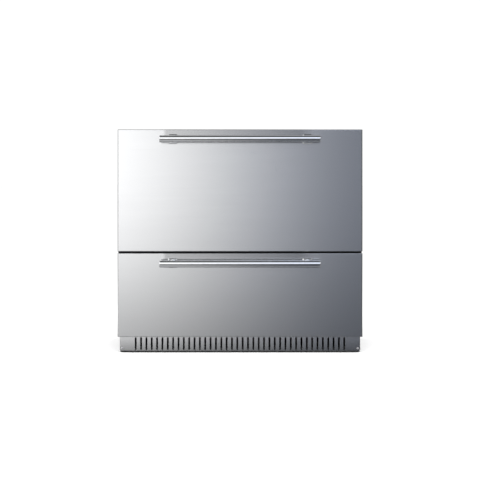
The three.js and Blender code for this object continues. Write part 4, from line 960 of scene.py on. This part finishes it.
GRILLE_SHEET, GRILLE_EDGE, GRILLE_CORNERS = 2.5, 10.0, (16.0, 16.0)
RETURN_SLOTS = 8
RETURN_WIDTH = 9.0
RETURN_ENDS = (24.0, 70.0)  # above the cover's lower edge
RETURN_MARGIN = 60.0  # from the cover's side to the middle of the first slot
OUTLET_SLOTS = 5
OUTLET_PITCH = 18.0
OUTLET_HALF = 3.0
SCREW_MARGIN = 22.0


def make_evaporator_cover():
    """Cover with return slots below and a round outlet in front of the fan."""
    low, high = box("evaporator_cover")
    depth = (low.y - 3, low.y + 6)
    pitch = (high.x - low.x - 2 * RETURN_MARGIN) / (RETURN_SLOTS - 1)
    ends = [low.z + end for end in RETURN_ENDS]
    slots = [
        prism("y", stadium((i - (RETURN_SLOTS - 1) / 2) * pitch, *ends, RETURN_WIDTH), *depth)
        for i in range(RETURN_SLOTS)
    ]
    # The outlet's slots fill a circle in front of the fan.
    fan_low, fan_high = box("evaporator_fan_frame")
    fan_z = (fan_low.z + fan_high.z) / 2
    radius = (fan_high.z - fan_low.z) / 2 - 6
    for i in range(OUTLET_SLOTS):
        rise = (i - (OUTLET_SLOTS - 1) / 2) * OUTLET_PITCH
        reach = math.sqrt(radius**2 - rise**2)
        z = fan_z + rise
        outline = rounded(-reach, reach, z - OUTLET_HALF, z + OUTLET_HALF, OUTLET_HALF - 0.2, steps=5)
        slots.append(prism("y", outline, *depth))
    shell = pan(low, high, GRILLE_SHEET, GRILLE_EDGE, GRILLE_CORNERS)
    x = high.x - SCREW_MARGIN
    screws = [
        screw("-y", (sign * x, low.y + 0.2, z), radius=4.5, rise=2.0, depth=4)
        for _, sign in SIDES for z in (low.z + SCREW_MARGIN, high.z - SCREW_MARGIN)
    ]
    piece("evaporator_grille", shell, "cabinet", "evaporator_cover", cuts=joined(*slots), bevel=0.3,
          parts=[(joined(*screws), "screw_steel")])


make_evaporator_cover()


# ------------ control panel
# Its face slopes down and to the rear. What is on the face is built flat, at z = 0, and turned.

PANEL_LOW, PANEL_HIGH = box("control_bezel")
NOSE = 12.0  # height of the upright strip above the slope
RUN = 32.0  # depth of the slope
ON_SLOPE = Vector((0, PANEL_LOW.z - PANEL_HIGH.z + NOSE, -RUN)).to_track_quat("Z", "X").to_matrix()
SLOPE_Y, SLOPE_Z = PANEL_LOW.y + RUN / 2, (PANEL_LOW.z + PANEL_HIGH.z - NOSE) / 2
BUTTON_OUT = 48.0
CAP = ((0.1, -4.4), (5.2, -4.4), (6, -3.6), (6, 0.7), (5.7, 1.4), (5.0, 1.8), (3.6, 1.65), (0.1, 1.3))
WELL_RADIUS, WELL_DEPTH = 6.4, 7.0
WINDOW_HALF = (24.0, 9.0)
WINDOW_GAP = 0.3
WINDOW_DEPTH = 0.8


def on_slope(form, x):
    """A form turned on to the slope, at a place along it."""
    return moved(turned_by(form, ON_SLOPE), x, SLOPE_Y, SLOPE_Z)


def window_outline(inset, corner):
    """The window's outline, drawn in by an inset."""
    a, b = (half - inset for half in WINDOW_HALF)
    return rounded(-a, a, -b, b, corner)


def make_control_panel():
    """Housing with a window and two sunk buttons."""
    low, high = PANEL_LOW, PANEL_HIGH
    cuts = [on_slope(prism("z", window_outline(0, 2), -WINDOW_DEPTH, 3), 0)]
    for side, sign in (("colder", -1), ("warmer", 1)):
        x = sign * BUTTON_OUT
        cuts.append(on_slope(prism("z", circle(0, 0, WELL_RADIUS, 32), -WELL_DEPTH, 3), x))
        cap = on_slope(lathe("z", CAP, 32), x)
        piece(f"button_cap_{side}", cap, f"{side}_button", f"{side}_button")
    pane = softened("z", lambda k: window_outline(WINDOW_GAP + k, 1.8 - k / 2), -0.9, -0.2, 0.3)
    outline = [(low.y, high.z), (low.y, high.z - NOSE), (low.y + RUN, low.z), (high.y - 14, low.z),
               (high.y, low.z + 20), (high.y, high.z)]
    housing = prism("x", outline, low.x, high.x)
    piece("control_panel", housing, "cabinet", "control_bezel", cuts=joined(*cuts), bevel=0.9,
          parts=[(on_slope(pane, 0), "display_glass")])


make_control_panel()


# ------------ feet

THREAD_PITCH, THREAD_CREST, THREAD_ROOT = 1.5, 5.0, 4.2
THREAD_START = 16.0
PAD = ((0.1, 0), (20.6, 0), (21.6, 0.4), (22, 1.4), (22, 3.4), (21.4, 4.4), (12.5, 8.2), (10, 9))
NUT_RADIUS, NUT_ENDS = 9.4, (9.0, 15.5)


def make_foot(name):
    """A pad and a thread in one turned form, with a hexagon nut between them."""
    x, y, _ = middle(name)
    top = box(name)[1].z
    section = [*PAD, (THREAD_ROOT, 9)]
    for i in range(int((top - THREAD_START - 2) / THREAD_PITCH)):
        z = THREAD_START + i * THREAD_PITCH
        section += [(THREAD_ROOT, z), (THREAD_CREST, z + THREAD_PITCH / 2)]
    section += [(THREAD_ROOT, top - 0.8), (3.6, top), (0.1, top)]
    nut = softened("z", lambda k: circle(0, 0, NUT_RADIUS - k, 6), *NUT_ENDS, 0.5)
    form = joined(lathe("z", section, 40), nut)
    piece(f"{name}_screwed", moved(form, x, y), name, name)


for row in ("front", "rear"):
    for side, _ in SIDES:
        make_foot(f"leveling_foot_{row}_{side}")


# ------------ back panel

RIB_HALF = (370.0, 11.0)
RIB_SECTION = ((0, -0.3), (0, 0.0), (1.5, 0.25), (4, 1.5), (5.5, 1.9), (7.5, 2.0))  # inset, rise
CAP_SECTION = ((0.1, -0.5), (13, -0.5), (13, 0.6), (12, 1.3), (9.5, 1.5), (9.2, 1.1), (0.1, 1.0))


def make_back_panel():
    """Sheet with ribs, screws along its edges and two foam caps."""
    low, high = box("back_panel")

    def level(share):
        return low.z + share * (high.z - low.z)

    def rib(z):
        a, b = RIB_HALF
        return loft([
            ring("y", rounded(-a + k, a - k, z - b + k, z + b - k, b - 0.1 - k), high.y + rise)
            for k, rise in RIB_SECTION
        ])

    sheet = prism("y", rounded(low.x, high.x, low.z, high.z, 3), low.y, high.y)
    ribs = [rib(level(share)) for share in (0.16, 0.33, 0.67, 0.84)]
    places = [
        (sign * (high.x - 9), level(share)) for _, sign in SIDES for share in (0.04, 0.27, 0.5, 0.73, 0.96)
    ]
    places += [(share * high.x, high.z - 9) for share in (-0.6, -0.2, 0.2, 0.6)]
    heads = [screw("+y", (x, high.y - 0.1, z), depth=2) for x, z in places]
    # Caps over the holes that the foam goes in by.
    caps = [
        moved(lathe("y", CAP_SECTION, 40), sign * 0.62 * high.x, high.y, level(0.5)) for _, sign in SIDES
    ]
    piece("rear_skin", sheet, "cabinet", "back_panel",
          parts=[(joined(*ribs), "galvanised_steel"), (joined(*heads), "screw_steel"),
                 (joined(*caps), "black_plastic")])


make_back_panel()


# ------------ rear cover

LOUVRE_ROWS = 6
LOUVRE_COLUMNS = 3
LOUVRE_LENGTH = 170.0
LOUVRE_HEIGHT = 6.0
LOUVRE_GAP = 50.0
LOUVRE_START = 35.7  # above the cover's lower edge
LOUVRE_MARGIN = 59.4  # height that the rows leave free
HOOD_DEPTH = 3.2
HOOD_SHEET = 0.9
COVER_SHEET = 1.0


def hood(x0, x1, face, bottom, top):
    """A louvre's hood: it bulges outwards from the cover and is open below."""
    stations = [(x0 - 5 + 9 * (1 - math.cos(t)), math.sin(t)) for t in quarter(5)]
    stations += [(x0 + x1 - x, share) for x, share in stations[::-1]]

    def line(x, share, inset):
        reach = max((HOOD_DEPTH - inset) * share, 0.02)
        crown = top - inset * share
        return [
            (x, face + reach * math.sin(t), crown - (top - bottom) * (1 - math.cos(t))) for t in quarter(6)
        ]

    return loft([line(x, share, 0.0) + line(x, share, HOOD_SHEET)[::-1] for x, share in stations])


def make_rear_cover():
    """Tray with hooded louvres, screws and the gland's hole."""
    low, high = box("rear_cover")
    face = low.y + COVER_SHEET
    through = (low.y - 2, face + 2)
    row_pitch = (high.z - low.z - LOUVRE_MARGIN) / LOUVRE_ROWS
    cuts, hoods = [], []
    for column in range(LOUVRE_COLUMNS):
        x = (column - (LOUVRE_COLUMNS - 1) / 2) * (LOUVRE_LENGTH + LOUVRE_GAP)
        x0, x1 = x - LOUVRE_LENGTH / 2, x + LOUVRE_LENGTH / 2
        for row in range(LOUVRE_ROWS):
            z = low.z + LOUVRE_START + row * row_pitch
            cuts.append(prism("y", rounded(x0, x1, z, z + LOUVRE_HEIGHT, 1.0, steps=3), *through))
            hoods.append(hood(x0, x1, face - 0.2, z + 4.4, z + LOUVRE_HEIGHT + 3.5))
    gland_x, _, gland_z = middle("cord_gland")
    cuts.append(prism("y", circle(gland_x, gland_z, 9.3, 32), *through))
    heads = [
        screw("+y", (share * (high.x - 16), face - 0.1, z), depth=3)
        for share in (-1, -0.33, 0.33, 1) for z in (low.z + 14, high.z - 14)
    ]
    tray = pan(low, high, COVER_SHEET, 1.6, (2, 2))
    piece("louvred_cover", tray, "cabinet", "rear_cover", cuts=joined(*cuts),
          parts=[(joined(*hoods), "galvanised_steel"), (joined(*heads), "screw_steel")])


# The gland's seat inside the cover, and its dome around the cord's hole: radius, distance outwards.
GLAND = (
    (4.5, -5), (11, -5), (11.6, -4.4), (11.6, -0.4), (9, -0.4), (9, 1.4), (11.6, 1.4), (11.6, 2),
    (10.4, 2.2), (9.8, 4.2), (9, 6.4), (7.8, 7.8), (6.4, 8.4), (5.2, 8.5), (4.6, 8), (4.5, 7),
)


def make_gland():
    """Rubber gland for a cord, clamped in the rear cover."""
    x, _, z = middle("cord_gland")
    rings = [ring("y", circle(0, 0, radius, 40), y) for radius, y in GLAND]
    hexagon = softened("y", lambda k: circle(0, 0, 11.7 - k, 6), 1.6, 5.2, 0.5)
    form = moved(joined(loft(rings, closed=True), hexagon), x, box("rear_cover")[0].y, z)
    piece("power_gland", form, "cabinet", "cord_gland", "black_plastic")


make_rear_cover()
make_gland()


# ------------ carried-over nodes

for node, obj in frame["nodes"].items():
    obj.data.materials.clear()
    obj.data.materials.append(M[SLOT_OF[node]])


# ------------ floor

FLOOR_HALF = 60_000.0


def make_floor():
    """A matt white floor that the steel doesn't mirror."""
    a = FLOOR_HALF
    corners = ring("z", [(-a, -a), (a, -a), (a, a), (-a, a)], 0)
    floor = object_of("floor", mesh_of("floor", (corners, [(0, 1, 2, 3)])))
    matt = Nodes("floor_white").finish(
        Base_Color=(0.92, 0.92, 0.92, 1), Roughness=1.0, Specular_IOR_Level=0.0
    )
    floor.data.materials.append(matt)
    floor.visible_glossy = False


make_floor()


# ------------ sky
# What the steel mirrors is a room, drawn by azimuth and elevation. All other light is an even white.

world = bpy.data.worlds.new("studio")
bpy.context.scene.world = world
world.use_nodes = True
sky = world.node_tree
sky.nodes.clear()

way = add_node(sky, "ShaderNodeTexCoord").outputs["Generated"]
way_x, way_y, way_z = add_node(sky, "ShaderNodeSeparateXYZ", Vector=way).outputs
# The azimuth is 0 straight in front of the drawers, and more to the right.
azimuth = maths(sky, "ARCTAN2", way_x, maths(sky, "MULTIPLY", way_y, -1.0))
elevation = maths(sky, "ARCSINE", way_z)

WHITE = (1, 1, 1)
COOL = (0.89, 0.98, 1.19)
STRIP = 1.35  # brightness of the overhead strip


def profile(angle, stops):
    """A brightness, or a colour, along an angle in degrees."""
    low, high = stops[0][0], stops[-1][0]
    degrees = maths(sky, "MULTIPLY", angle, 180 / math.pi)
    place = add_node(sky, "ShaderNodeMapRange", Value=degrees, From_Min=low, From_Max=high)
    node = add_node(sky, "ShaderNodeValToRGB", Fac=place.outputs[0])
    elements = node.color_ramp.elements
    while len(elements) < len(stops):
        elements.new(0.5)
    for element, (at, level) in zip(elements, stops):
        colour = level if isinstance(level, tuple) else (level,) * 3
        element.position = (at - low) / (high - low)
        element.color = (*colour, 1)
    return node.outputs[0]


def part_of_sky(along, up):
    """Brightness from one profile along the azimuth and one up the elevation."""
    return maths(sky, "MULTIPLY", profile(azimuth, along), profile(elevation, up))


# Ahead of the drawers the room is bright on the left and dim on the right, down to its horizon.
ahead = part_of_sky(
    [(-180, 0), (-60, 0.3), (-30, 0.9), (-16, 1.75), (-8.3, 2.28), (-5.4, 2.2), (-4.2, 2.03), (-2.5, 1.62),
     (-0.8, 1.16), (0.8, 0.73), (2.5, 0.425), (4.6, 0.215), (7.5, 0.22), (24, 0.23), (60, 0.1), (90, 0),
     (180, 0)],
    [(-90, 0.3), (-50, 0.26), (-25, 0.12), (-17, 0.1), (-10.8, 0.09), (-7.5, 0.09), (-6.2, 0.15),
     (-5, 0.37), (-3.75, 0.62), (-2.5, 0.91), (-1.2, 1.01), (0.4, 0.93), (2.5, 0.81), (10.8, 0.75),
     (16, 0.2), (34, 0), (90, 0)],
)
# A long overhead strip across the front of the room, for the handles.
strip = part_of_sky(
    [(-180, 0), (-100, 0), (-70, 1), (70, 1), (100, 0), (180, 0)],
    [(-90, 0), (12, 0), (18, 1), (48, 1), (56, 0.08), (90, 0.08)],
)
# The rest of the room: pale on the left, darker on the right and behind.
room = part_of_sky(
    [(-180, 0.6), (-130, 0.55), (-105, 0.9), (-75, 0.9), (-60, 0.65), (-28, 0.4), (-16, 0), (-1, 0),
     (4, 0.035), (22, 0.035), (40, 0.13), (75, 0.12), (90, 0.04), (112, 0.04), (130, 0.4), (180, 0.6)],
    [(-90, 0.5), (-30, 0.6), (0, 0.9), (12, 1), (30, 0.7), (60, 0.5), (75, 0.2), (90, 0.2)],
)
# Low on the right the pale floor shows in the fronts, seen from the left and above.
low_right = part_of_sky(
    [(-180, 0), (10, 0), (20, 0.32), (100, 0.32), (125, 0), (180, 0)],
    [(-90, 1), (-13, 1), (-8.5, 0), (90, 0)],
)
tint = profile(
    azimuth, [(-180, WHITE), (-1.5, WHITE), (4.3, COOL), (12, COOL), (40, WHITE), (180, WHITE)]
)

level = maths(sky, "ADD", ahead, low_right)
level = maths(sky, "ADD", level, maths(sky, "MULTIPLY_ADD", strip, STRIP, room))
mirrored = add_node(sky, "ShaderNodeBackground", Color=tint, Strength=level)
even = add_node(sky, "ShaderNodeBackground", Color=(*WHITE, 1), Strength=1.1)
choice = sky.nodes.new("ShaderNodeMixShader")
glossy = add_node(sky, "ShaderNodeLightPath").outputs["Is Glossy Ray"]
for socket, value in zip(choice.inputs, (glossy, even.outputs[0], mirrored.outputs[0])):
    put(sky, socket, value)
add_node(sky, "ShaderNodeOutputWorld", Surface=choice.outputs[0])


# ------------ lamp

LAMP_PLACE = Vector((0, -2.4, 4.2))  # metres
LAMP_AIM = Vector((0, -0.6, 0))
LAMP_SIZE = (4, 3)
LAMP_POWER = 260

lamp_data = bpy.data.lights.new("overhead", "AREA")
lamp_data.shape = "RECTANGLE"
lamp_data.size, lamp_data.size_y = LAMP_SIZE
lamp_data.energy = LAMP_POWER
lamp = object_of("overhead", lamp_data)
lamp.location = LAMP_PLACE
lamp.rotation_euler = (LAMP_AIM - LAMP_PLACE).to_track_quat("-Z", "Y").to_euler()
lamp.visible_camera = False
lamp.visible_glossy = False


# ------------ camera

IMAGE = 480  # pixels on each side of the picture
PIXEL = 3.670 * MM  # its size on the drawers' face
TOP_ROW = 129.33  # row of the upper front's upper edge
DISTANCE = 6.0  # metres, from the drawers' face
HORIZON = 0.68  # height of the eye, in metres
SENSOR = 36

camera_data = bpy.data.cameras.new("camera")
camera = object_of("camera", camera_data)
camera.location = (0, FACE * MM - DISTANCE, HORIZON)
camera.rotation_euler = (math.radians(90), 0, 0)
camera_data.sensor_width = SENSOR
camera_data.lens = SENSOR * DISTANCE / (IMAGE * PIXEL)
centre_height = box("upper_front_skin")[1].z * MM - (IMAGE / 2 - TOP_ROW) * PIXEL
camera_data.shift_y = (centre_height - HORIZON) / (IMAGE * PIXEL)
camera_data.clip_end = 200
bpy.context.scene.camera = camera

bpy.context.scene.view_settings.view_transform = "Standard"
bpy.context.scene.view_settings.look = "None"
